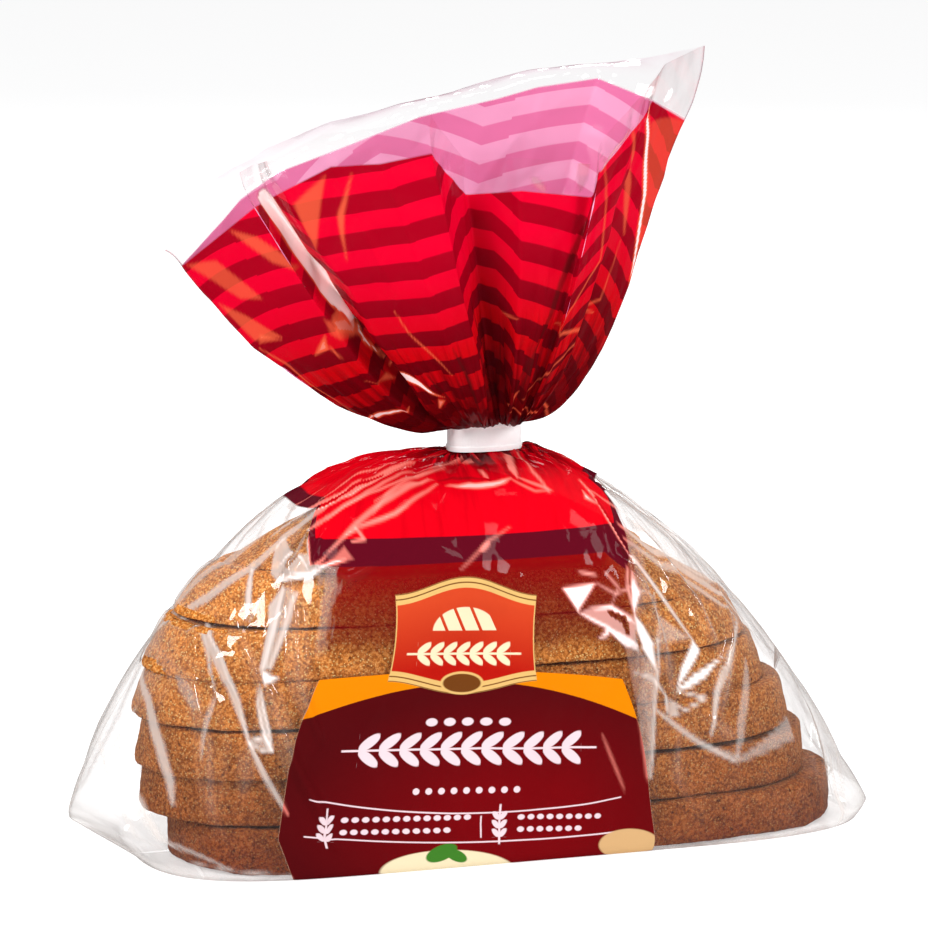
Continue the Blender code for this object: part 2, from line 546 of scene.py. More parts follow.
@dataclass(frozen=True)
class Film:
    """What every stretch of the bag's clear film shares: haze, a sharp gloss, and marks that are painted
    highlights and painted shade, partly standing for the whitening of creased film.
    """

    haze: float = 0.014
    gloss: float = 0.04
    ink_gloss: float = 0.003
    edge_gloss: float = 0.5
    roughness: float = 0.05
    facet: float = 13.0
    facet_depth: float = 1.3
    # Crease haze whitens the film along sharp folds: partly its real whitening, partly a painted highlight.
    crease_haze_and_sheen: float = 0.12
    edge_haze: float = 0.6
    # Colours of the marks: white and bright are painted highlights on clear film, glint is a painted
    # highlight over ink, shadow is painted shade.
    white: Colour = srgb(214, 203, 196)
    bright: Colour = srgb(248, 228, 226)
    glint: Colour = srgb(236, 128, 116)
    shadow: Colour = srgb(62, 14, 14)

    def shade(self, graph: Graph, output: bpy.types.Node, ink: object, cover: Field) -> None:
        """Puts print on the film: ink where the cover is 1, bare film where it is 0.

        Args:
            graph: the material's builder.
            output: the material's output node.
            ink: the ink's colour.
            cover: how well the ink hides what is behind it, from 0 to 1.
        """
        around, down = graph.map_place("print")
        facets = FilmCreases().place(graph, Place=graph.plane(around, down * 0.55), Size=self.facet)[0]
        normal = graph.bump(facets, self.facet_depth)
        # The mark holds painted highlights, partly the whitening of folds, and below 0 painted shade; crease
        # haze whitens sharp folds, partly as a painted highlight.
        mark = graph.attribute("mark")
        light = graph.math("MAXIMUM", mark, graph.attribute("crease") * self.crease_haze_and_sheen * (1 - cover))
        dark = graph.math("MAXIMUM", mark * -1.0, 0.0)
        strong = graph.rise(light - 0.72, 0.1)
        over_ink = cover * (1 - strong)
        whitening_and_highlight = graph.blend(over_ink, graph.blend(strong, self.white, self.bright), self.glint)
        share = graph.math("MULTIPLY", light, 0.95 + over_ink * 0.65, clamp=True)
        colour = graph.blend(dark, graph.blend(share, ink, whitening_and_highlight), self.shadow)
        grazing = Field(graph, graph.node("ShaderNodeLayerWeight", {"Blend": 0.5}).outputs["Facing"]) ** 2.5
        bare = (1 - cover) * (1 - light) * (1 - dark) * (1 - self.haze - grazing * self.edge_haze)
        inputs = {"Base Color": colour, "Roughness": 0.4, "Alpha": 1 - bare, "Specular IOR Level": 0.0}
        paint = graph.node("ShaderNodeBsdfPrincipled", inputs)
        shine = graph.node("ShaderNodeBsdfGlossy", {"Roughness": self.roughness, "Normal": normal})
        facing = graph.node("ShaderNodeLayerWeight", {"Blend": 0.5, "Normal": normal}).outputs["Facing"]
        mirror = Field(graph, facing) ** 5 * self.edge_gloss * (1 - cover * 0.7)
        mirror = mirror + self.gloss - cover * (self.gloss - self.ink_gloss)
        seen = graph.node("ShaderNodeMixShader", {0: mirror, 1: paint.outputs[0], 2: shine.outputs[0]})
        passed = graph.node("ShaderNodeBsdfTransparent", {"Color": bare * (1 - self.gloss)})
        shadow = graph.node("ShaderNodeLightPath").outputs["Is Shadow Ray"]
        whole = graph.node("ShaderNodeMixShader", {0: shadow, 1: seen.outputs[0], 2: passed.outputs[0]})
        graph.feed(output.inputs[0], whole.outputs[0])


class Print:
    """The design on the bag's body: fields of colour and simple shapes, in millimetres on the flat film."""

    bare = srgb(206, 198, 193)
    red = srgb(204, 2, 20)
    red_deep = srgb(168, 0, 12)
    stripe = srgb(84, 8, 24)
    veil = srgb(128, 3, 8)
    veil_low = srgb(92, 5, 12)
    # neck_dark: partly stacked layers of print, partly painted shade in the gathered folds.
    neck_dark = srgb(88, 3, 9)
    orange = srgb(212, 118, 5)
    burgundy = srgb(72, 8, 12)
    red_centre = srgb(104, 6, 11)
    pale = srgb(214, 190, 196)
    gold = srgb(200, 162, 98)
    gold_dark = srgb(98, 54, 20)
    plaque = srgb(160, 20, 12)
    plaque_light = srgb(186, 62, 32)
    cream = srgb(214, 198, 164)
    leaf = srgb(56, 110, 36)
    beige = srgb(190, 152, 106)

    shoulder_end = 89.7
    stripe_end = 83.0
    veil_end = 59.0
    side_rise = 13.0
    side_narrowing = 4.3
    opacity = 0.995
    middle = -14.0
    lean = 0.06
    half_width = 51.5

    def __init__(self, graph: Graph) -> None:
        """Reads the film's map of around and up from the floor."""
        self.graph = graph
        self.front, up = graph.map_place("panel")
        folded = graph.rise(graph.math("ABSOLUTE", self.front + 16) - 51, 3)
        self.level = up - folded * self.side_rise
        self.shoulder_level = self.level + folded * self.side_narrowing
        self.across = self.front - self.middle - up * self.lean
        self.up = up + (self.front - self.middle) * self.lean
        self.colour: object = self.bare

    def lay(self, mask: Field, colour: object, opacity: float = 0.0) -> None:
        """Prints a colour where the mask is 1, over what is there.

        Args:
            mask: where the colour goes.
            colour: a colour or an output.
            opacity: how well it hides what is behind the film, or 0 on ink that hides it already.
        """
        self.colour = self.graph.blend(mask, self.colour, colour)
        if opacity:
            self.cover = self.graph.math("MAXIMUM", self.cover, mask * opacity)

    def row(self, along: Field, pitch: float) -> Field:
        """The distance along from the nearest mark of an endless row that has one at nought."""
        return self.graph.math("MODULO", along + pitch * 100.5, pitch) - pitch / 2

    def grains(
        self, across: Field, up: Field, pitch: float, count: float, size: tuple[float, float]
    ) -> Field:
        """A mask of an ear of grain lying on its side: slanted grains in pairs along a stem.

        Args:
            across: distance from the ear's middle along its stem.
            up: distance from its stem.
            pitch: the distance between pairs.
            count: how many pairs there are.
            size: a grain's half length and half width.

        Returns:
            The mask.
        """
        graph = self.graph
        off = graph.math("ABSOLUTE", up)
        long, wide = graph.turned(self.row(across, pitch), off - size[0] * 0.62, 38)
        ear = graph.oval(long, wide, size, 0.12) * graph.near(across, pitch * count / 2, 0.1)
        stem = graph.rise(0.28 - off, 0.1) * graph.near(across, pitch * (count / 2 + 0.8), 0.2)
        return graph.math("MAXIMUM", ear, stem)

    def dashes(
        self, across: Field, up: Field, pitch: float, each_way: int, half: tuple[float, float]
    ) -> Field:
        """A mask of a row of small rounded dashes.

        Args:
            across: distance along the row from its middle dash.
            up: distance from the row's middle line.
            pitch: the distance between dashes.
            each_way: how many dashes there are to each side of the middle one.
            half: a dash's half length and half height.

        Returns:
            The mask.
        """
        within = self.graph.near(across, (each_way + 0.5) * pitch, 0.1)
        return self.graph.oval(self.row(across, pitch), up, half, 0.12) * within

    def panel(self) -> None:
        """Prints the veil, and below it the panel: burgundy with a redder middle under an orange band."""
        graph, across, up = self.graph, self.across, self.up
        narrowing = graph.math("MAXIMUM", up - 26, 0.0) ** 2 * 0.0065
        right = graph.rise(across, 20) * (2.0 + graph.math("MAXIMUM", up - 6, 0.0) * 0.13)
        side = self.half_width - narrowing - right - graph.math("ABSOLUTE", across)
        threads = graph.noise(graph.plane(across, up * 0.25), 0.55, 3)
        above = self.level - self.veil_end
        share = graph.math("DIVIDE", above, self.stripe_end - self.veil_end, clamp=True)
        within = graph.rise(47 - graph.math("ABSOLUTE", across + 1) + threads * 10 - 5, 3.0)
        within = within * graph.rise(self.stripe_end + 3 - self.level, 0.3)
        self.lay(within, graph.blend(share, self.veil_low, self.veil))
        ragged = graph.rise(above + threads * 8 - 5 + across * 0.04, 2.5)
        self.cover = within * ragged * (share * 0.48 + 0.42)
        rightwards = graph.math("MAXIMUM", across, 0.0)
        arch = 51.2 - across * across * 0.0040 - rightwards * 0.07
        top = 54.2 - across * across * 0.0011 - rightwards * 0.025
        inside = graph.rise(side, 0.12)
        self.lay(graph.rise(top - up, 0.12) * inside, self.orange, self.opacity)
        lower = graph.rise(arch - up, 0.12) * inside
        glow = graph.oval(across - 12, up - 13, (40, 24), 14)
        self.lay(lower, graph.blend(glow, self.burgundy, self.red_centre))
        self.inside_panel = lower

    def marks(self) -> None:
        """Prints the panel's pale marks: an ear of grain, rules, a divider and rows of dashes."""
        graph, across, up = self.graph, self.across, self.up
        self.lay(self.grains(across + 3.5, up - 32.8, 5.6, 11, (3.5, 1.35)), self.pale)
        self.lay(self.dashes(across + 5, up - 40.2, 5.0, 2, (1.6, 1.1)), self.pale)
        self.lay(self.dashes(across + 4, up - 21.3, 3.4, 4, (0.9, 0.9)), self.pale)
        within = graph.band(across, -45.5, 39.5, 0.2)
        for level, sag in ((15, 0.0024), (7, 0.0013)):
            self.lay(graph.near(up - level - across * across * sag, 0.2, 0.1) * within, self.pale)
        self.lay(graph.near(across - 0.4, 0.2, 0.1) * graph.band(up, 8.2, 14.2, 0.2), self.pale)
        rows = ((-19.5, 14.0, 6), (-22.2, 10.6, 5), (22.0, 13.6, 4), (19.3, 10.2, 3))
        for middle, level, each_way in rows:
            self.lay(self.dashes(across - middle, up - level, 2.7, each_way, (0.95, 0.75)), self.pale)
        for middle in (-40.5, 5.4):
            self.lay(self.grains(up - 11.8, across - middle, 2.4, 3, (1.5, 0.7)), self.pale)

    def foot(self) -> None:
        """Prints the plain shapes along the panel's foot: a cream mound, a green leaf and a beige block."""
        graph, across, up = self.graph, self.across, self.up
        self.lay(graph.oval(across + 9, up + 1.5, (19, 6.5), 0.15) * self.inside_panel, self.cream)
        self.lay(graph.oval(across - 42, up - 5.5, (8.5, 4.2), 0.15) * self.inside_panel, self.beige)
        long, wide = graph.turned(across + 10.5, up - 4.2, 22)
        self.lay(graph.oval(long, wide, (4.6, 2.1), 0.12), self.leaf)
        long, wide = graph.turned(across + 6.5, up - 3.4, -25)
        self.lay(graph.oval(long, wide, (3.2, 1.6), 0.12), self.leaf)

    def badge(self) -> None:
        """Prints the plaque: red in gold, with a loaf over an ear of grain and a dark oval below."""
        graph = self.graph
        across, up = (self.across + 7.4) * 0.94, (self.up - 63.2) * 0.96
        wave = graph.math("COSINE", across * (math.pi / 20)) * 0.5 + 0.5
        far = graph.math("ABSOLUTE", across)
        top = 10.6 + wave * 4.6
        bottom = -11.4 - wave * 3.4
        side = 19.6 - (1 - (up / 12) ** 2) * 1.0 - far
        inside = graph.band(up, bottom, top, 0.12) * graph.rise(side, 0.12)
        self.lay(inside, self.gold, 1.0)
        scroll = graph.math("MINIMUM", top - up, up - bottom)
        self.lay(graph.near(scroll - 1.35, 0.16, 0.09) * inside, self.gold_dark)
        self.lay(graph.near(scroll - 0.1, 0.12, 0.08) * inside, self.gold_dark)
        face = graph.rise(scroll - 2.7, 0.1) * graph.rise(side - 0.35, 0.1)
        glow = graph.rise(up - 2 + far * 0.2, 9.0)
        self.lay(face, graph.blend(glow, self.plaque, self.plaque_light))
        loaf = graph.oval(across, up - 1.6, (8.6, 6.0), 0.12) * graph.rise(up - 1.6, 0.12)
        cuts = graph.math("MODULO", across + up * 0.5 + 400, 4.6)
        self.lay(loaf * graph.rise(cuts - 0.9, 0.12), self.cream)
        self.lay(self.grains(across, up + 4.4, 3.5, 7, (2.3, 0.9)), self.cream)
        self.lay(graph.oval(across, up + 12.0, (5.6, 3.0), 0.12), self.gold)
        self.lay(graph.oval(across, up + 12.0, (4.9, 2.4), 0.12), self.gold_dark)

    def build(self) -> tuple[object, Field]:
        """Prints it all.

        Returns:
            The ink's colour and how well it covers.
        """
        graph = self.graph
        around, down = graph.map_place("print")
        streaks = graph.noise(graph.plane(around * 0.3, down * 0.03), 1.0, 3)
        self.panel()
        dip = graph.rise(self.front - 30, 4) * graph.rise(36 - self.front, 1.5) * 7
        self.lay(graph.rise(self.level + dip - self.stripe_end, 0.15), self.stripe, self.opacity)
        shoulder = graph.rise(self.shoulder_level - self.shoulder_end, 0.15)
        red = graph.blend(graph.rise(streaks - 0.58, 0.1) * 0.4, self.red, self.red_deep)
        self.lay(shoulder, red, self.opacity)
        # Darker where the film gathers at the neck: partly stacked layers, partly painted shade in the
        # folds.
        gathered = graph.rise(17 - down, 9) * graph.rise(streaks - 0.48, 0.06)
        self.lay(gathered * shoulder, self.neck_dark)
        self.marks()
        self.foot()
        self.badge()
        return self.colour, self.cover


@dataclass(frozen=True)
class BodyFilm:
    """The film round the loaf: clear, with the print on its front and round its shoulders."""

    film: Film = Film()

    def build(self) -> bpy.types.Material:
        """The body film's material."""
        made, graph, output = new_material("body_film")
        colour, cover = Print(graph).build()
        self.film.shade(graph, output, colour, cover)
        return made


@dataclass(frozen=True)
class MouthFilm:
    """The film above the clip: striped in two reds, pink inside, with a clear margin along its rim."""

    bright: Colour = srgb(206, 0, 37)
    band: Colour = srgb(148, 0, 22)
    low: Colour = srgb(180, 3, 12)
    low_band: Colour = srgb(100, 0, 9)
    # neck: partly stacked layers of film, partly painted shade in the folds.
    neck: Colour = srgb(72, 2, 5)
    inside: Colour = srgb(218, 148, 182)
    inside_band: Colour = srgb(206, 108, 152)
    pitch: float = 10.6
    first: float = 36.2
    film: Film = Film(facet=10.0, facet_depth=1.2, edge_haze=0.35, glint=srgb(214, 84, 54))

    def steps(self, graph: Graph, around: Field, per_mm: float) -> Field:
        """A value from -0.5 to 0.5 that jumps from pleat to pleat.

        Args:
            graph: the material's builder.
            around: distance round the mouth.
            per_mm: how many pleats there are to a millimetre.

        Returns:
            The value.
        """
        inputs = {"W": around * per_mm, "Scale": 1.0}
        made = graph.node("ShaderNodeTexVoronoi", inputs, voronoi_dimensions="1D")
        return Field(graph, made.outputs["Color"]) - 0.5

    def build(self) -> bpy.types.Material:
        """The mouth film's material."""
        made, graph, output = new_material("mouth_film")
        around, down = graph.map_place("print")
        share = graph.attribute("print_share")
        pleats, folds = self.steps(graph, around, 0.17), self.steps(graph, around, 0.045)
        shift = folds * 1.6 + pleats * 7.0 * graph.rise(38 - down, 10)
        sway = graph.math("SINE", around * 0.05) * 0.8
        sway = sway + graph.math("PINGPONG", around, 33.0) * 0.3 * graph.rise(around - 122, 6)
        turn = graph.math("MODULO", down + sway + shift - self.first + self.pitch * 10, self.pitch)
        dark = graph.rise(self.pitch / 2 - turn, 0.2) * graph.rise(turn, 0.2)
        high = graph.blend(dark, self.bright, self.band)
        outside = graph.blend(graph.rise(58 - down, 14), high, graph.blend(dark, self.low, self.low_band))
        streaks = graph.noise(graph.plane(around * 0.3, down * 0.02), 1.0, 3)
        # Near the neck the film turns darker: partly stacked layers, partly painted shade in the folds.
        deep = graph.rise(34 - down + (streaks - 0.5) * 60, 12)
        outside = graph.blend(deep * 0.85, outside, self.neck)
        inside = graph.blend(dark, self.inside, self.inside_band)
        back = graph.node("ShaderNodeNewGeometry").outputs["Backfacing"]
        colour = graph.blend(Field(graph, back), outside, inside)
        self.film.shade(graph, output, colour, graph.rise(1.0 - share, 0.002) * 0.995)
        return made


@dataclass(frozen=True)
class ClipPlastic:
    """The clip's white plastic, satin and faintly warm."""

    colour: Colour = srgb(255, 252, 252)
    shade: Colour = srgb(246, 236, 238)

    def build(self) -> bpy.types.Material:
        """The clip's material."""
        made, graph, output = new_material("clip_plastic")
        place = graph.place_mm()
        mottle = graph.noise(place, 0.25, 3)
        colour = graph.blend(graph.rise(mottle - 0.6, 0.2) * 0.5, self.colour, self.shade)
        shader = graph.node("ShaderNodeBsdfPrincipled", {"Base Color": colour, "Roughness": 0.35})
        graph.feed(shader.inputs["Normal"], graph.bump(graph.noise(place, 1.2, 3), 0.06))
        graph.feed(output.inputs[0], shader.outputs[0])
        return made


@dataclass(frozen=True)
class Floor:
    """The pale studio floor, lit a little from below, and darker in the film's reflections."""

    colour: Colour = (0.5, 0.5, 0.505, 1.0)
    glow: float = 0.72
    mirrored: float = 0.1
    mirrored_colour: Colour = (0.12, 0.12, 0.12, 1.0)

    def build(self) -> bpy.types.Material:
        """The floor's material."""
        made, graph, output = new_material("floor")
        mirrored = Field(graph, graph.node("ShaderNodeLightPath").outputs["Is Glossy Ray"])
        colour = graph.blend(mirrored, self.colour, self.mirrored_colour)
        shader = graph.node("ShaderNodeBsdfPrincipled", {"Base Color": colour, "Roughness": 0.6})
        shader.inputs["Emission Color"].default_value = (1, 1, 1, 1)
        graph.feed(shader.inputs["Emission Strength"], self.glow - mirrored * (self.glow - self.mirrored))
        graph.feed(output.inputs[0], shader.outputs[0])
        return made


def deselect() -> None:
    """Leaves nothing selected."""
    bpy.ops.object.select_all(action="DESELECT")


def apply_modifiers(piece: bpy.types.Object) -> None:
    """Applies all of a piece's modifiers in order."""
    deselect()
    piece.select_set(True)
    bpy.context.view_layer.objects.active = piece
    for modifier in list(piece.modifiers):
        bpy.ops.object.modifier_apply(modifier=modifier.name)


def report(piece: bpy.types.Object) -> bpy.types.Object:
    """Makes a piece move with the object, logs it and gives it back.

    Args:
        piece: the finished piece.

    Returns:
        The same piece.
    """
    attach(piece, BODY)
    LOG.info("%s: %d faces", piece.name, len(piece.data.polygons))
    return piece


@dataclass(frozen=True)
class Slice:
    """One slice: where it starts and ends above the floor, how far it is shifted, and how it is turned."""

    name: str
    bottom: float
    top: float
    shift_x: float
    shift_y: float
    turn: float = 0.0
    tilt: float = 0.0


@dataclass
class Loaf:
    """The half loaf on its cut face: its flat bottom crust faces the front and its dome the back."""

    half_length: float = 95.0
    height: float = 102.0
    middle: float = -4.0
    front_depth: float = 34.0
    back_depth: float = 44.0
    points_round: int = 200
    layers: int = 7
    profile: float = 2.35
    top_left: tuple[float, float] = (0.75, 0.9)
    top_right: tuple[float, float] = (0.63, 1.35)
    gap: float = 0.35
    edge_round: float = 1.0
    insets: tuple[float, ...] = (1.0, 1.4, 2.4, 3.0)
    slices: tuple[Slice, ...] = (
        Slice("slice_1", 0.6, 13.4, 3.5, -1.6, 0.6, 0.0),
        Slice("slice_2", 13.4, 26.8, -3.5, 0.6, -0.4, 0.2),
        Slice("slice_3", 26.8, 40.2, -7.0, -0.4, 0.5, -0.2),
        Slice("slice_4", 40.2, 53.6, -10.5, 0.5, 0.9, 0.3),
        Slice("slice_5", 53.6, 67.0, -12.5, -0.6, -0.3, -0.3),
        Slice("slice_6", 67.0, 80.4, -11.0, 0.3, 0.4, 0.2),
        Slice("heel", 80.4, 101.8, -9.0, 0.0, 0.0, 0.0),
    )

    def outline(self, angle: float, height: float) -> tuple[float, float]:
        """A point of the loaf's skin.

        Args:
            angle: the direction round the slice, in radians.
            height: the height above the floor.

        Returns:
            The point's place in plan.
        """
        level = min(1.0, height / self.height)
        x = self.half_length * (1 - level**self.profile) ** (1 / self.profile) * math.cos(angle)
        along = abs(x / self.half_length) ** self.profile
        reach = min(1.0, (along + level**self.profile) ** (1 / self.profile))
        start, narrowing = self.top_right if x > 0 else self.top_left
        x *= 1 - narrowing * max(0.0, level - start)
        if math.sin(angle) < 0:
            return x, self.middle - self.front_depth * (1 - reach**5) ** 0.5
        return x, self.middle + self.back_depth * (1 - reach**2.4) ** (1 / 1.8)

    def select_end(self, piece: bpy.types.Object, upper: bool) -> None:
        """Selects a slice's highest or lowest face, in edit mode.

        Args:
            piece: the slice.
            upper: whether it is the highest.
        """
        bpy.ops.mesh.select_all(action="DESELECT")
        mesh = bmesh.from_edit_mesh(piece.data)
        whole = [face for face in mesh.faces if len(face.verts) == self.points_round]
        flat = [face for face in whole if abs(face.normal.z) > 0.99]
        ends = sorted(flat, key=lambda face: face.calc_center_median().z)
        ends[-1 if upper else 0].select_set(True)
        bmesh.update_edit_mesh(piece.data)

    def cut_face(self, piece: bpy.types.Object, upper: bool) -> None:
        """Insets a slice's cut face in rings, which hold their distance from the crust, and closes it.

        Args:
            piece: the slice, in edit mode.
            upper: whether it is the upper cut face.
        """
        self.select_end(piece, upper)
        total = 0.0
        for inset in self.insets:
            total += inset
            bpy.ops.mesh.inset(thickness=inset * MM, use_even_offset=False)
            mesh = bmesh.from_edit_mesh(piece.data)
            depth = mesh.verts.layers.float["crust_depth"]
            for face in mesh.faces:
                if face.select:
                    for vert in face.verts:
                        vert[depth] = total
                    for edge in face.edges:
                        for other in edge.link_faces:
                            other.material_index = 1
            bmesh.update_edit_mesh(piece.data)
        bpy.ops.mesh.poke()

    def build_slice(self, cut: Slice, order: int) -> bpy.types.Object:
        """Models one slice: a drum raised in layers, shaped to the loaf, with inset cut faces.

        Args:
            cut: the slice's place.
            order: its number from the floor.

        Returns:
            The slice.
        """
        deselect()
        thick = (cut.top - cut.bottom - self.gap) * MM
        step = thick / self.layers
        start = cut.bottom * MM
        bpy.ops.mesh.primitive_cylinder_add(
            vertices=self.points_round, radius=0.05, depth=step, location=(0, 0, start + step / 2)
        )
        piece = bpy.context.object
        piece.name = cut.name
        piece.data.transform(piece.matrix_world)
        piece.matrix_world = Matrix.Identity(4)
        bpy.ops.object.mode_set(mode="EDIT")
        bpy.ops.mesh.select_mode(type="FACE")
        self.select_end(piece, upper=True)
        for _ in range(self.layers - 1):
            bpy.ops.mesh.extrude_region_move(TRANSFORM_OT_translate={"value": (0, 0, step)})
        mesh = bmesh.from_edit_mesh(piece.data)
        domed = order == len(self.slices) - 1
        for vert in mesh.verts:
            layer = (vert.co.z - start) / thick
            if domed:
                layer = math.sin(layer * math.pi / 2)
            height = cut.bottom + layer * thick / MM
            x, y = self.outline(math.atan2(vert.co.y, vert.co.x), height)
            vert.co = (x * MM, y * MM, height * MM)
        mesh.verts.layers.float.new("crust_depth")
        for face in mesh.faces:
            face.material_index = 0
        bmesh.update_edit_mesh(piece.data)
        for upper in (False,) if domed else (False, True):
            self.cut_face(piece, upper)
        bpy.ops.object.mode_set(mode="OBJECT")
        bevel = piece.modifiers.new("edge", "BEVEL")
        bevel.width = self.edge_round * MM
        bevel.segments = 2
        bevel.limit_method = "ANGLE"
        bevel.angle_limit = math.radians(45)
        finer = piece.modifiers.new("finer", "SUBSURF")
        finer.subdivision_type = "SIMPLE"
        finer.levels = finer.render_levels = 1
        for label, size, strength in (("lumps", 22.0, 1.5), ("grain", 3.2, 0.55)):
            pattern = bpy.data.textures.new(f"{cut.name}_{label}", "CLOUDS")
            pattern.noise_scale = size * MM
            shift = piece.modifiers.new(label, "DISPLACE")
            shift.texture = pattern
            shift.strength = strength * MM
        apply_modifiers(piece)
        centre = Vector((0, 0, (cut.bottom + cut.top) / 2 * MM))
        turn = Matrix.Rotation(math.radians(cut.turn), 4, "Z")
        turn = turn @ Matrix.Rotation(math.radians(cut.tilt), 4, "Y")
        place = Matrix.Translation(Vector((cut.shift_x * MM, cut.shift_y * MM, 0)) + centre)
        piece.data.transform(place @ turn @ Matrix.Translation(-centre))
        piece.data.shade_smooth()
        return piece

    def build(self, crust: bpy.types.Material, crumb: bpy.types.Material) -> list[bpy.types.Object]:
        """Models and dresses all slices.

        Args:
            crust: the crust's material.
            crumb: the cut faces' material.

        Returns:
            The slices from the floor up.
        """
        made = []
        for order, cut in enumerate(self.slices):
            piece = self.build_slice(cut, order)
            piece.data.materials.clear()
            piece.data.materials.append(crust)
            piece.data.materials.append(crumb)
            made.append(report(piece))
        return made


class Fold(Enum):
    """Which way the film is folded along a crease."""

    RIDGE = 1.0
    VALLEY = -1.0


@dataclass(frozen=True)
class Crease:
    """A crease in the film: its line, how far it stands out, its width, and which way it folds."""

    line: tuple[tuple[float, float], ...]
    height: float
    width: float
    fold: Fold = Fold.RIDGE


@dataclass(frozen=True)
class Mark:
    """A painted highlight on the film, partly its whitening at a fold, or painted shade where the strength
    is below 0.

    It is a line of the given width, or without a width the patch that its corners enclose. Places are in
    millimetres on the flat film: around, and down from the neck.
    """

    strength: float
    width: float
    spots: tuple[tuple[float, float], ...]
    blur: float = 0.5

    def mask(self, around: np.ndarray, down: np.ndarray) -> np.ndarray:
        """How strong the mark is at each point.

        Args:
            around: each point's distance round the film.
            down: its distance from the neck.

        Returns:
            The strength, 0 outside the mark.
        """
        line = np.array(self.spots, float)
        starts, ends = (line[:-1], line[1:]) if self.width else (line, np.roll(line, -1, 0))
        steps = ends - starts
        lengths = np.maximum(np.hypot(*steps.T), 1e-6)
        total = lengths.sum()
        off = np.full(around.shape, 1e9)
        wide = np.ones(around.shape)
        inside = np.zeros(around.shape, bool)
        done = 0.0
        for start, end, step, length in zip(starts, ends, steps, lengths):
            share = ((around - start[0]) * step[0] + (down - start[1]) * step[1]) / length**2
            share = np.clip(share, 0, 1)
            gap = np.hypot(around - start[0] - share * step[0], down - start[1] - share * step[1])
            along = (done + share * length) / total
            wide = np.where(gap < off, 1 - np.abs(2 * along - 1) ** 3 * 0.75, wide)
            off = np.minimum(off, gap)
            done += length
            if not self.width and step[1]:
                crosses = (start[1] > down) != (end[1] > down)
                inside ^= crosses & (around < start[0] + (down - start[1]) * step[0] / step[1])
        reach = self.width / 2 * wide - off if self.width else np.where(inside, off, -off)
        return self.strength * smooth(reach, -self.blur, self.blur)


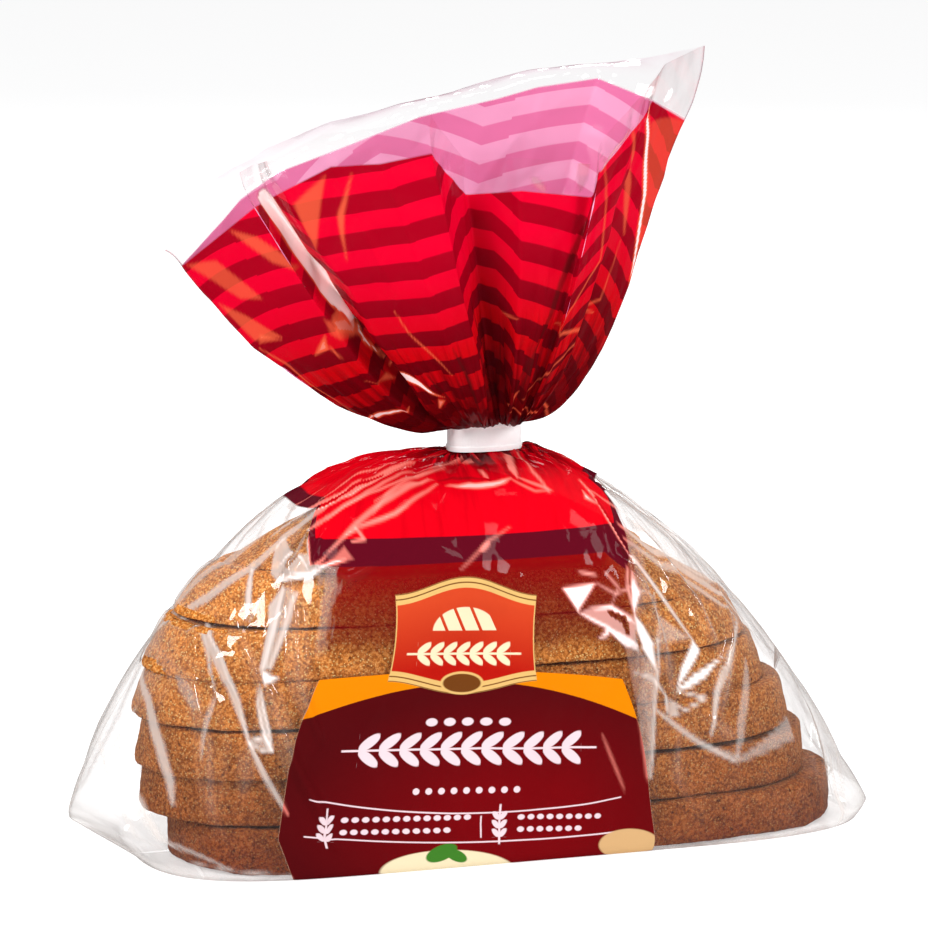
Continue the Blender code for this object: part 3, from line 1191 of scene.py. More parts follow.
class Sheet:
    """A stretch of film as a grid of points, with each point's place on the flat film in millimetres."""

    def __init__(self, place: np.ndarray, around: np.ndarray, down: np.ndarray, girth: float) -> None:
        """Keeps the grid.

        Args:
            place: rows by columns by three, in millimetres; the last column joins the first.
            around: rows by columns, the distance round the film.
            down: rows by columns, the distance from the neck.
            girth: the distance once round, where the last column joins the first.
        """
        self.place = place
        self.around = around
        self.down = down
        self.girth = girth
        self.relief = np.zeros(place.shape[:2])

    def normals(self) -> np.ndarray:
        """The film's outward directions."""
        across = np.roll(self.place, -1, 1) - np.roll(self.place, 1, 1)
        along = np.gradient(self.place, axis=0)
        made = np.cross(along, across)
        made /= np.maximum(np.linalg.norm(made, axis=2, keepdims=True), 1e-9)
        return made

    def facets(self, spacing: float, seed: int, creases: tuple[Crease, ...] = ()) -> np.ndarray:
        """Flat facets between scattered points of random height, as crumpled film has.

        Args:
            spacing: the distance between points.
            seed: which random heights to take.
            creases: lines that the facets have to follow.

        Returns:
            Rows by columns of heights, from about -1 to 1 and more along creases.
        """
        chance = np.random.RandomState(seed)
        low, high = self.around.min() - spacing * 2, self.around.max() + spacing * 2
        lows = np.arange(low, low + self.girth, spacing)
        points, heights, edges = [], [], []
        for crease in creases:
            self.crease_points(crease, points, heights, edges)
        ridge = np.array(points) if points else np.zeros((0, 2))
        for x in lows:
            for y in np.arange(self.down.min() - spacing, self.down.max() + spacing * 1.5, spacing):
                spot = (x + chance.uniform(-0.42, 0.42) * spacing, y + chance.uniform(-0.42, 0.42) * spacing)
                height = chance.uniform(-1, 1)
                if len(ridge) and np.hypot(*(ridge - spot).T).min() < spacing * 0.35:
                    continue
                for turn in (0.0, self.girth):
                    if low - 1 <= spot[0] + turn <= high + spacing * 2:
                        points.append((spot[0] + turn, spot[1]))
                        heights.append(height)
        verts, _, faces, sources, _, _ = delaunay_2d_cdt([Vector(p) for p in points], edges, [], 0, 1e-4)
        levels = []
        flat = np.array(points)
        for vert, source in zip(verts, sources):
            if source:
                levels.append(sum(heights[i] for i in source) / len(source))
            else:
                near = np.argsort(np.hypot(*(flat - (vert.x, vert.y)).T))[:2]
                levels.append(sum(heights[i] for i in near) / 2)
        tree = BVHTree.FromPolygons([(v.x, v.y, h) for v, h in zip(verts, levels)], faces)
        ray = Vector((0, 0, -1))
        made = np.zeros(self.around.size)
        for i, (x, y) in enumerate(zip(self.around.ravel(), self.down.ravel())):
            hit = tree.ray_cast(Vector((x, y, 100.0)), ray)[0]
            made[i] = hit.z if hit else 0.0
        return made.reshape(self.around.shape)

    def crease_points(self, crease: Crease, points: list, heights: list, edges: list) -> None:
        """Adds a crease's ridge and the feet of its two sides to the points that facets run through.

        Args:
            crease: the crease, its line on the flat film.
            points: the points so far.
            heights: their heights so far.
            edges: the pairs of points that facets may not cross.
        """
        line = np.array(crease.line)
        steps = np.diff(line, axis=0)
        count = len(line)
        for side in (0, -1, 1):
            first = len(points)
            for i, spot in enumerate(line):
                step = steps[min(i, count - 2)] + steps[max(i - 1, 0)]
                off = np.array((-step[1], step[0])) / np.hypot(*step) * crease.width * side
                taper = 1.0 if 0 < i < count - 1 else 0.35
                points.append(tuple(spot + off * taper))
                heights.append(crease.height * crease.fold.value * (1.0 if side == 0 else 0.0) * taper)
            edges.extend((first + i, first + i + 1) for i in range(count - 1))

    def creases(self, sharpest: float) -> np.ndarray:
        """How sharply the film is folded at each point.

        Args:
            sharpest: the change of slope that counts as 1.

        Returns:
            Rows by columns, from 0 to 1.
        """
        wide = np.linalg.norm(np.roll(self.place, -1, 1) - self.place, axis=2)
        tall = np.linalg.norm(np.diff(self.place, axis=0, append=self.place[-1:]), axis=2)
        wide, tall = np.maximum(wide, 0.15), np.maximum(tall, 0.15)
        slope_round = (np.roll(self.relief, -1, 1) - self.relief) / wide
        slope_down = np.diff(self.relief, axis=0, append=self.relief[-1:]) / tall
        bend_round = np.abs(slope_round - np.roll(slope_round, 1, 1))
        bend_down = np.abs(slope_down - np.roll(slope_down, 1, 0))
        bend_down[0] = bend_down[-1] = 0
        return soften(smooth(np.maximum(bend_round, bend_down), 0.08, sharpest))

    def marked(self, marks: tuple[Mark, ...]) -> np.ndarray:
        """How strong the painted highlight is at each point, or the painted shade where it is below 0.

        Args:
            marks: the marks on this film.

        Returns:
            Rows by columns, from -1 to 1.
        """
        light = np.zeros(self.around.shape)
        dark = np.zeros(self.around.shape)
        for mark in marks:
            grid = mark.mask(self.around, self.down)
            light = 1 - (1 - light) * (1 - np.maximum(grid, 0))
            dark = np.maximum(dark, -grid)
        return np.where(dark > 0.02, -dark, light)

    def push(self, heights: np.ndarray) -> None:
        """Moves the film outwards by these heights, keeping count of them."""
        self.place = self.place + self.normals() * heights[..., None]
        self.relief = self.relief + heights

    def clear_of(self, tree: BVHTree, gap: float) -> None:
        """Keeps the film outside something solid.

        Args:
            tree: the solid's surface, in metres.
            gap: the least distance from it, in millimetres.
        """
        flat = self.place.reshape(-1, 3)
        for i, point in enumerate(flat):
            spot = Vector(point) * MM
            near, normal, _, _ = tree.find_nearest(spot, 0.006)
            if near is None or abs(normal.z) > 0.9:
                continue
            out = (spot - near).dot(normal)
            if out < 0:
                flat[i] = np.array(near + normal * gap * MM) / MM
            elif out < gap * MM:
                flat[i] = point + np.array(normal) * (gap - out / MM)
        self.place = flat.reshape(self.place.shape)

    def build(
        self, name: str, material: bpy.types.Material, up: np.ndarray, values: dict, upwards: bool = False
    ) -> bpy.types.Object:
        """Makes the film's mesh, with its maps and values.

        Args:
            name: the piece's name.
            material: its finish.
            up: rows by columns, the height above the floor for the map of the panel.
            values: rows by columns of each further value, by name.
            upwards: whether the rows go up, and not down, from the neck.

        Returns:
            The piece.
        """
        rows, columns = self.place.shape[:2]
        index = np.arange(rows * columns).reshape(rows, columns)
        right = np.roll(index, -1, 1)
        order = (0, 3, 2, 1) if upwards else (0, 1, 2, 3)
        corners = (index[:-1], index[1:], right[1:], right[:-1])
        quads = np.stack([corners[i].ravel() for i in order], 1)
        mesh = bpy.data.meshes.new(name)
        mesh.from_pydata((self.place.reshape(-1, 3) * MM).tolist(), [], quads.tolist())
        around = np.concatenate([self.around, self.around[:, :1] + self.girth], 1)
        down = np.concatenate([self.down, self.down[:, :1]], 1)
        high = np.concatenate([up, up[:, :1]], 1)
        for label, first, second in (("print", around, down), ("panel", around, high)):
            layer = mesh.uv_layers.new(name=label)
            pairs = []
            for grid in (first, second):
                parts = (grid[:-1, :-1], grid[1:, :-1], grid[1:, 1:], grid[:-1, 1:])
                pairs.append(np.stack([parts[i].ravel() for i in order], 1).ravel())
            layer.data.foreach_set("uv", np.stack(pairs, 1).ravel().astype(np.float32))
        for label, grid in values.items():
            holder = mesh.attributes.new(label, "FLOAT", "POINT")
            holder.data.foreach_set("value", grid.ravel().astype(np.float32))
        mesh.materials.append(material)
        made = bpy.data.objects.new(name, mesh)
        bpy.context.scene.collection.objects.link(made)
        mesh.shade_smooth()
        return made


def superellipse(share: np.ndarray, along: float, across: float) -> np.ndarray:
    """How far across a superellipse reaches, where share is the distance along it."""
    return np.maximum(0.0, 1 - np.abs(share) ** along) ** (1 / across)


@dataclass
class BagBody:
    """The bag from its gusseted base to its neck, wrapped loosely round the loaf."""

    shoulder_top: float = 106.2
    reach_left: float = 99.0
    reach_right: float = 105.0
    reach_front: float = 41.5
    reach_back: float = 45.0
    bulge_left: float = 2.4
    bulge_right: float = 1.4
    bulge_front: float = 3.2
    bulge_back: float = 1.7
    ear_left: tuple[float, float, float] = (19.0, 12.0, 76.0)
    ear_right: tuple[float, float, float] = (4.0, 4.0, 16.0)
    neck_width: float = 9.5
    neck_depth: float = 4.6
    plan_along: float = 6.0
    plan_across: float = 3.0
    plan_ears: float = 1.35
    plan_neck: float = 2.6
    half_girth: float = 130.0
    front_columns: int = 410
    back_columns: int = 180
    rows: int = 158
    neck_rows: tuple[float, ...] = (0.7, 0.8, 1.0, 1.5)
    floor_round: float = 1.6
    base_lift: float = 0.15
    creases: tuple[Crease, ...] = (
        Crease(((-76, 66), (-70, 50), (-65, 33), (-59, 20), (-52, 6)), 1.6, 2.2),
        Crease(((-74, 44), (-77, 34), (-79, 24)), 0.9, 1.4),
        Crease(((-62, 82), (-62, 72), (-63, 55), (-58, 38)), 2.0, 2.6),
        Crease(((-94, 66), (-88, 52), (-86, 38), (-87, 20)), 1.8, 4.0),
        Crease(((36, 88), (42, 78), (50, 66), (56, 52)), 1.6, 2.4),
        Crease(((26, 82), (33, 74), (38, 60), (41, 44), (42, 20)), 1.5, 2.0),
        Crease(((60, 66), (57, 50), (55, 34)), 1.8, 3.6),
        Crease(((38, 45), (54, 34), (64, 28)), 1.4, 2.2),
        Crease(((84, 36), (86, 22), (90, 8)), 1.8, 2.6),
        Crease(((-52, 92), (-56, 84), (-48, 80), (-40, 84)), 1.4, 2.2),
    )

    # The front's marks: painted highlights, partly the whitening of creased film, and below 0 painted shade.
    marks: tuple[Mark, ...] = (
        Mark(0.55, 0, ((-78.5, 63.5), (-81.5, 66.5), (-78, 75), (-75, 76), (-71.5, 67.5))),
        Mark(0.5, 0, ((-71.5, 68), (-66, 66), (-61.5, 70), (-71, 75.5), (-75, 76.5))),
        Mark(0.85, 1.3, ((-75.5, 76.5), (-63.5, 71.5), (-57, 66), (-52.5, 63.5))),
        Mark(0.8, 0.8, ((-76, 72), (-71.5, 67.5), (-68, 67.5), (-64.5, 70))),
        Mark(0.8, 0.8, ((-67, 61.5), (-64, 69))),
        Mark(-0.7, 0.7, ((-68.5, 61), (-69.5, 66.5), (-72, 71.5))),
        Mark(0.75, 0.8, ((-59, 64.5), (-63, 70.5), (-70.5, 73))),
        Mark(0.7, 0, ((-87.5, 75.5), (-86, 75.5), (-81.5, 84), (-81, 89.5), (-84, 83.5))),
        Mark(0.5, 0.7, ((-79, 82), (-80, 89.5))),
        Mark(0.62, 0, (
            (-72.5, 77), (-75.5, 83.5), (-74, 88.5), (-74, 100.5), (-72.5, 100.5), (-71.5, 89.5),
            (-71.5, 77),
        )),
        Mark(0.55, 0, ((-69, 80), (-66.5, 77), (-67, 84), (-71, 99.5), (-72, 99.5), (-70, 89))),
        Mark(0.35, 0, ((-72.5, 77), (-66.5, 77), (-71, 99.5), (-73.5, 100.5))),
        Mark(0.97, 0, ((-73.5, 100.5), (-68.5, 101), (-72, 104))),
        Mark(0.7, 0.9, ((-73.5, 105), (-73, 109.5), (-71.5, 114), (-68.5, 120.5))),
        Mark(0.75, 0.9, ((-73, 104.5), (-71.5, 110), (-69.5, 115), (-68, 120.5))),
        Mark(0.35, 0, ((-73, 105), (-71, 109.5), (-68, 120.5), (-72, 114.5))),
        Mark(0.85, 0.8, ((-74, 120), (-70.5, 117), (-68, 120.5))),
        Mark(0.8, 0.7, ((-74, 120), (-70.5, 121), (-68, 120.5))),
        Mark(0.35, 0, ((-74, 120), (-70.5, 117), (-68, 120.5))),
        Mark(0.5, 0, (
            (-96, 92.5), (-90.5, 99), (-85, 104.5), (-81, 109), (-74.5, 119), (-73, 121), (-76, 114.5),
            (-80.5, 106), (-84.5, 101), (-90.5, 95.5),
        )),
        Mark(0.6, 0.8, ((-96, 92.5), (-84.5, 101), (-78, 110), (-74, 119.5), (-68.5, 128))),
        Mark(0.45, 1.6, ((-74, 120), (-69.5, 127), (-63, 135.5))),
        Mark(0.6, 0.7, ((-94, 94.5), (-87.5, 103), (-84.5, 110))),
        Mark(0.55, 0.7, ((-84, 111), (-84, 119), (-84, 128))),
        Mark(0.5, 2.6, ((-117.5, 112), (-102, 119.5), (-93.5, 129.5), (-89.5, 136.5), (-88, 142.5))),
        Mark(0.5, 0.9, ((-120.5, 135.5), (-109, 139), (-105, 144))),
        Mark(0.35, 2.2, ((-106, 123.5), (-107, 138))),
        Mark(0.22, 4.0, ((-94.5, 110.5), (-86.5, 116))),
        Mark(0.5, 2.6, ((-32, 20), (-54.5, 42.5), (-77.5, 53.5), (-88, 64.5))),
        Mark(0.75, 0.8, ((-31.5, 22), (-53.5, 43.5), (-75.5, 55.5))),
        Mark(-0.6, 0.6, ((-43, 32), (-61.5, 46.5), (-81.5, 58.5))),
        Mark(0.7, 0.7, ((-36, 8.5), (-50, 29.5), (-74, 49.5))),
        Mark(0.45, 1.5, ((-29.5, 24.5), (-49, 43.5), (-65.5, 56), (-68.5, 59.5))),
        Mark(0.6, 0.7, ((-17.5, 18), (-36, 34.5), (-55, 48.5), (-68.5, 59.5))),
        Mark(0.5, 1.4, ((-24, 27.5), (-40, 43), (-50.5, 54), (-58.5, 63.5))),
        Mark(0.6, 0.7, ((-21.5, 28.5), (-36.5, 45.5), (-46.5, 52), (-50, 54))),
        Mark(0.4, 0.8, ((-32.5, 41.5), (-40.5, 48.5), (-49, 54))),
        Mark(0.42, 0, ((-30.5, 32), (-22.5, 27), (-35, 37), (-40, 43), (-43.5, 48), (-39.5, 40))),
        Mark(0.72, 0, ((-19, 29), (-11.5, 24.5), (1, 22), (-1.5, 24), (-12, 27))),
        Mark(0.5, 0.8, ((-29, 25.5), (-14.5, 14), (-9, 7.5))),
        Mark(0.5, 0.7, ((-43, 44), (-29, 29), (-17.5, 19))),
        Mark(0.5, 0.8, ((3.5, 22), (12, 29.5))),
        Mark(0.4, 0.7, ((1, 22.5), (7, 28), (10.5, 29))),
        Mark(0.6, 0.7, ((8.5, 8), (8.5, 21), (11, 29.5))),
        Mark(0.6, 0, ((4, 6.5), (5.5, 7.5), (3, 22.5), (1, 18))),
        Mark(-0.75, 1.4, ((-2, 4), (-6.5, 16.5))),
        Mark(-0.6, 1.6, ((-10.5, 6.5), (-6, 9), (-4.5, 19))),
        Mark(-0.5, 1.2, ((2.5, 4.5), (0, 19.5), (2, 22))),
        Mark(-0.5, 1.0, ((-21, 27), (-10.5, 22), (-5.5, 22.5))),
        Mark(0.6, 0.8, ((-7, 17.5), (-6, 23))),
        Mark(0.5, 1.0, ((-11, 15), (-4.5, 8))),
        Mark(0.7, 0.8, ((-53, 57), (-49, 54), (-46.5, 56), (-50.5, 58))),
        Mark(0.5, 1.2, ((-9, 42.5), (-12, 46))),
        Mark(0.35, 0.6, ((-2.5, 37.5), (-9, 42), (-18.5, 53.5))),
        Mark(0.35, 0, ((-56.5, 64.5), (-53, 60), (-50, 62.5), (-59.5, 68))),
        Mark(0.75, 1.1, ((24.5, 28), (29.5, 41), (35.5, 53.5), (42, 64), (48, 74), (52.5, 81.5))),
        Mark(-0.75, 0.8, ((31.5, 48.5), (34, 55))),
        Mark(-0.6, 0.6, ((27.5, 34.5), (32.5, 46), (35.5, 53))),
        Mark(0.75, 0, ((23.5, 31.5), (25, 34), (27, 36.5), (23, 34))),
        Mark(0.6, 0.9, ((26, 32), (41.5, 41), (54.5, 57.5), (68, 65.5), (85.5, 72.5))),
        Mark(0.5, 2.4, ((34, 43.5), (45, 54), (60, 63.5), (80.5, 76), (86, 88.5))),
        Mark(0.4, 2.0, ((33.5, 47.5), (47, 59), (64, 70), (79.5, 82))),
        Mark(0.95, 0, ((11.5, 56.5), (22, 57.5), (16, 64))),
        Mark(0.7, 0.8, ((17, 53.5), (22.5, 55.5))),
        Mark(0.55, 0, (
            (16.5, 64.5), (20.5, 63.5), (26.5, 64.5), (33, 69.5), (34, 79), (29.5, 76.5), (24.5, 70.5),
            (20, 67.5),
        )),
        Mark(0.85, 1.0, ((16, 64), (20, 67), (25, 70.5), (29.5, 76), (34, 79))),
        Mark(0.85, 0, ((21.5, 73), (24.5, 70.5), (26, 71.5), (24.5, 73))),
        Mark(-0.45, 1.0, ((25.5, 66.5), (30, 69.5), (31, 73.5))),
        Mark(0.85, 1.6, ((26, 71.5), (30, 75), (33.5, 77.5))),
        Mark(0.92, 0, (
            (33.5, 57.5), (36, 64), (33.5, 69), (36, 72.5), (38.5, 78), (39, 86), (35.5, 80), (33.5, 73),
            (33, 64.5),
        )),
        Mark(0.6, 0.8, ((32.5, 55.5), (32, 61), (33.5, 69))),
        Mark(0.5, 0.7, ((22, 57.5), (28, 62), (33, 61.5), (40.5, 66))),
        Mark(0.45, 0.7, ((25.5, 55.5), (29, 60.5), (26.5, 64.5))),
        Mark(0.6, 0.8, ((33.5, 79), (40, 78), (39, 77))),
        Mark(0.55, 0.8, ((41, 65), (40, 78), (39.5, 86), (37.5, 96), (35.5, 115))),
        Mark(0.34, 0, ((29.5, 76.5), (34, 79), (39.5, 86), (37.5, 96), (35.5, 115), (34, 115), (32, 94.5))),
        Mark(0.95, 0, ((44.5, 93), (47, 87.5), (52.5, 81.5), (54.5, 85), (49, 89.5))),
        Mark(0.95, 0, ((44.5, 93), (51, 90.5), (62.5, 89), (55, 92.5), (49, 93.5))),
        Mark(0.75, 0.8, ((44.5, 93), (54, 98), (42, 99.5))),
        Mark(0.75, 0.8, ((41, 93), (41.5, 99))),
        Mark(0.5, 0, ((42, 94.5), (45.5, 97.5), (42, 100))),
        Mark(0.55, 1.0, ((32, 84.5), (37.5, 87.5), (41, 93))),
        Mark(0.5, 1.4, ((37.5, 96), (43.5, 102.5), (50, 109), (62, 119))),
        Mark(0.3, 0, ((50, 109), (62, 119), (83.5, 120), (83.5, 113.5), (63.5, 117.5))),
        Mark(0.48, 2.2, ((79.5, 82.5), (65.5, 89), (58, 97.5), (54.5, 109))),
        Mark(0.5, 0.8, ((78, 82.5), (60.5, 92.5), (54, 108.5))),
        Mark(0.3, 3.0, ((73, 93.5), (65.5, 107.5), (62, 117.5))),
        Mark(0.65, 1.0, ((97.5, 125.5), (95, 131), (92.5, 136))),
        Mark(-0.14, 1.0, ((102, 129), (97, 138))),
        Mark(0.55, 1.4, ((100, 128.5), (93, 140), (92.5, 151))),
        Mark(0.3, 3.0, ((108, 131.5), (95.5, 141), (93.5, 146))),
        Mark(0.5, 1.0, ((40.5, 138), (61, 141.5), (79, 145.5))),
        Mark(0.45, 1.2, ((46.5, 139), (72, 144.5), (92.5, 152.5))),
        Mark(0.5, 1.2, ((-106.5, 133), (-94.5, 144.5), (-87.5, 155.5))),
        Mark(0.4, 1.0, ((-108.5, 139.5), (-99.5, 147), (-91.5, 157.5))),
        Mark(0.35, 2.4, ((-98, 143.5), (-89, 152.5), (-79.5, 158.5))),
        Mark(0.4, 1.0, ((-91, 161), (-80, 159), (-65.5, 154.5))),
        Mark(0.3, 0.7, ((21.5, 99), (27.5, 116))),
        Mark(0.5, 3.2, ((-53, 38), (-78, 62), (-97, 88), (-118, 107))),
        Mark(0.32, 5.5, ((-89, 57), (-107, 80), (-114, 95), (-120, 110))),
        Mark(0.5, 0.8, ((-84, 44), (-96, 55), (-112, 78))),
        Mark(0.5, 0.7, ((-45, 24), (-30, 8))),
        Mark(0.3, 0, ((45, 43), (58, 50), (75, 66), (84, 72), (72, 70), (56, 60), (42, 48))),
        Mark(0.3, 4.5, ((88, 52), (99, 70), (104, 90), (108, 116))),
        Mark(0.3, 0, ((41, 71), (52, 81), (41, 79))),
        Mark(0.8, 1.2, ((21, 64.5), (26, 65), (33, 71))),
    )

    def side(self, full: float, neck: float, bulge: float, height: np.ndarray) -> np.ndarray:
        """How far a side reaches at each height: full at the floor and neck at the shoulder's top."""
        level = np.clip(height / self.shoulder_top, 0, 1)
        return neck + (full - neck) * np.maximum(0, 1 - level**bulge) ** (1 / bulge)

    def ear(self, size: tuple[float, float, float], height: np.ndarray) -> np.ndarray:
        """How far a folded corner adds to its side at each height."""
        reach, tip, top = size
        above = np.maximum(0, top - height) / (top - tip)
        return np.where(height < tip, reach * height / tip, reach * above)

    def gather(self, share: np.ndarray) -> np.ndarray:
        """How film that is wider than its side crowds towards the side's end."""
        return share / (1 + share**4) ** 0.25

    def columns(self) -> tuple[np.ndarray, np.ndarray, np.ndarray]:
        """Spaces the columns evenly along the floor outline.

        Returns:
            Each column's share from the left end (-1) to the right end (1) on gathered film, its distance
            round the film, and 1 for the front or -1 for the back.
        """
        shares, arounds, faces = [], [], []
        start = 0.0
        sides = ((1, self.front_columns, self.reach_front), (-1, self.back_columns, self.reach_back))
        for face, count, depth in sides:
            fine = np.sin(np.linspace(-math.pi / 2, math.pi / 2, 4001))
            x = np.where(fine < 0, self.reach_left, self.reach_right) * fine
            y = depth * superellipse(fine, self.plan_along, self.plan_across)
            length = np.concatenate([[0], np.cumsum(np.hypot(np.diff(x), np.diff(y)))])
            if face == 1:
                origin = np.interp(0.0, x, length)
            wanted = np.linspace(0, length[-1], count, endpoint=False)
            if face == -1:
                fine, length = fine[::-1], length[-1] - length[::-1]
            where = np.interp(wanted, length, fine)
            reach = np.where(where < 0, self.reach_left, self.reach_right)
            full = self.gather(self.half_girth / reach)
            share = np.clip(np.abs(where) * full, 0, 0.99999)
            shares.append(np.sign(where) * reach / self.half_girth * share / (1 - share**4) ** 0.25)
            arounds.append(start + wanted)
            faces.append(np.full(count, face))
            start += length[-1]
        self.girth = start
        return np.concatenate(shares), np.concatenate(arounds) - origin, np.concatenate(faces)

    def ring(self, share: np.ndarray, face: np.ndarray, height: float) -> np.ndarray:
        """The film's outline at one height.

        Args:
            share: each column's share, from columns.
            face: 1 for the front and -1 for the back.
            height: the height above the floor.

        Returns:
            The outline's points.
        """
        left = self.side(self.reach_left, self.neck_width, self.bulge_left, height)
        left = left + self.ear(self.ear_left, height)
        right = self.side(self.reach_right, self.neck_width, self.bulge_right, height)
        right = right + self.ear(self.ear_right, height)
        reach = np.where(share < 0, left, right)
        spread = self.half_girth / reach
        where = self.gather(np.abs(share) * spread) / self.gather(spread)
        where = np.clip(where, 0, 1) * np.sign(share)
        level = (height / self.shoulder_top) ** 1.5
        along = mix(self.plan_along, self.plan_neck, level)
        if height < self.ear_left[1]:
            across = mix(self.plan_across, self.plan_ears, height / self.ear_left[1])
        else:
            across = mix(self.plan_ears, self.plan_neck, level)
        across = np.where(share < 0, across, max(across, mix(self.plan_across, self.plan_neck, level)))
        front = self.side(self.reach_front, self.neck_depth, self.bulge_front, height)
        back = self.side(self.reach_back, self.neck_depth, self.bulge_back, height)
        y = np.where(face > 0, -front, back) * superellipse(where, along, across)
        return np.stack([where * reach, y, np.full(share.shape, height)], 1)

    def pleats(self, sheet: Sheet) -> np.ndarray:
        """Tent-shaped pleats that fan out from the neck and fade down the shoulders.

        Args:
            sheet: the film.

        Returns:
            Rows by columns of heights.
        """
        chance = np.random.RandomState(5)
        spots = sheet.place
        angle = np.arctan2(spots[..., 1] / 0.45, spots[..., 0])
        made = np.zeros(angle.shape)
        for i in range(64):
            middle = (i + chance.uniform(-0.35, 0.35)) / 64 * 2 * math.pi
            wide = chance.uniform(0.035, 0.08)
            reach = chance.uniform(16, 46) * (1.8 if chance.uniform() < 0.3 else 1.0)
            tall = chance.uniform(0.5, 1.5) * chance.choice((-0.6, 1.0))
            off = np.abs((angle - middle + math.pi) % (2 * math.pi) - math.pi)
            profile = np.clip(sheet.down / 7, 0, 1) * np.clip(1 - sheet.down / reach, 0, 1)
            made += tall * profile * np.clip(1 - off / wide, 0, 1)
        return made

    def rear_marks(self) -> tuple[Mark, ...]:
        """Painted highlights on the bag's back, partly the whitening of its folds: strokes that run down
        from the neck, and flattened corners.

        Returns:
            The marks, scattered between the two ends of the back.
        """
        chance = np.random.RandomState(19)
        left, right = self.girth - 128.0, 138.0
        made = []
        for _ in range(40):
            spot = np.array((chance.uniform(right, left), chance.uniform(8, 130)))
            step = np.array((chance.uniform(-16, 16), chance.uniform(24, 58)))
            bend = np.array((chance.uniform(-5, 5), 0.0))
            line = (tuple(spot), tuple(spot + step / 2 + bend), tuple(spot + step))
            made.append(Mark(chance.uniform(0.2, 0.6), chance.uniform(0.6, 2.6), line))
        for _ in range(12):
            spot = np.array((chance.uniform(right, left), chance.uniform(20, 150)))
            turns = np.sort(chance.uniform(0, 2 * math.pi, 3))
            reach = chance.uniform(2.5, 7.0, 3)
            ways = [np.array((math.cos(turn), 1.5 * math.sin(turn))) for turn in turns]
            corners = tuple(tuple(spot + r * way) for r, way in zip(reach, ways))
            made.append(Mark(chance.uniform(0.3, 0.8), 0, corners))
        return tuple(made)

    def on_film(self, sheet: Sheet, crease: Crease) -> Crease:
        """A crease given by its place across and up the bag's front, moved to its place on the flat film.

        Args:
            sheet: the film.
            crease: the crease as seen from the front.

        Returns:
            The same crease on the flat film.
        """
        front = sheet.place[:, : self.front_columns]
        line = []
        for x, z in crease.line:
            off = np.hypot(front[..., 0] - x, front[..., 2] - z)
            row, column = np.unravel_index(off.argmin(), off.shape)
            line.append((sheet.around[row, column], sheet.down[row, column]))
        return Crease(tuple(line), crease.height, crease.width, crease.fold)

    def build(self, material: bpy.types.Material, contents: list[bpy.types.Object]) -> bpy.types.Object:
        """Makes the body's film.

        Args:
            material: its finish.
            contents: the slices that it wraps.

        Returns:
            The piece.
        """
        share, around, face = self.columns()
        levels = 1 - np.linspace(0.0, 1, self.rows - len(self.neck_rows)) ** 1.9
        heights = self.floor_round + (self.shoulder_top - self.floor_round) * levels
        rings = [self.ring(share, face, h) for h in heights]
        for rise in self.neck_rows:
            rings.insert(0, rings[0] + np.array((0, 0, rise)))
        foot = rings[-1].copy()
        middle = np.array((0, -2.0, 0))
        for rise, draw in ((0.5, 0.992), (self.base_lift, 0.975)):
            ring = middle + (foot - middle) * draw
            ring[:, 2] = rise
            rings.append(ring)
        for draw in (0.85, 0.6, 0.3, 0.02):
            ring = foot.copy()
            ring[:, 0] *= 0.97
            ring[:, 1] = middle[1] + (ring[:, 1] - middle[1]) * draw
            ring[:, 2] = self.base_lift
            rings.append(ring)
        place = np.array(rings)
        down = np.cumsum(np.linalg.norm(np.diff(place, axis=0, prepend=place[:1]), axis=2), axis=0)
        sheet = Sheet(place, np.broadcast_to(around, down.shape).copy(), down, self.girth)
        up = place[..., 2].copy()
        for row in range(self.rows, len(rings)):
            up[row] = up[row - 1] - np.linalg.norm(place[row] - place[row - 1], axis=1)
        calm = smooth(up, 0.5, 14) * smooth(down, 0, 10)
        lines = tuple(self.on_film(sheet, crease) for crease in self.creases)
        large = soften(sheet.facets(30, 11, lines))
        small = sheet.facets(11, 23)
        tiny = sheet.facets(5, 37)
        near_neck = 1 - smooth(down, 20, 75)
        crumple = large * 1.5 + small * (0.35 + 0.4 * near_neck) + tiny * (0.06 + 0.14 * near_neck)
        sheet.push(crumple * calm)
        sheet.push(self.pleats(sheet))
        crease = sheet.creases(0.5)
        trees = bmesh.new()
        for piece in contents:
            trees.from_mesh(piece.data)
        sheet.clear_of(BVHTree.FromBMesh(trees), 0.7)
        trees.free()
        sheet.place[..., 2] = np.maximum(sheet.place[..., 2], self.base_lift)
        values = {"crease": crease, "mark": sheet.marked(self.marks + self.rear_marks())}
        made = sheet.build("bag_body", material, up, values)
        return report(made)


@dataclass(frozen=True)
class Spoke:
    """A line of film up from the neck: two points that pull the curve, the print's end, and the rim."""

    first: tuple[float, float, float]
    second: tuple[float, float, float]
    edge: tuple[float, float, float]
    rim: tuple[float, float, float]


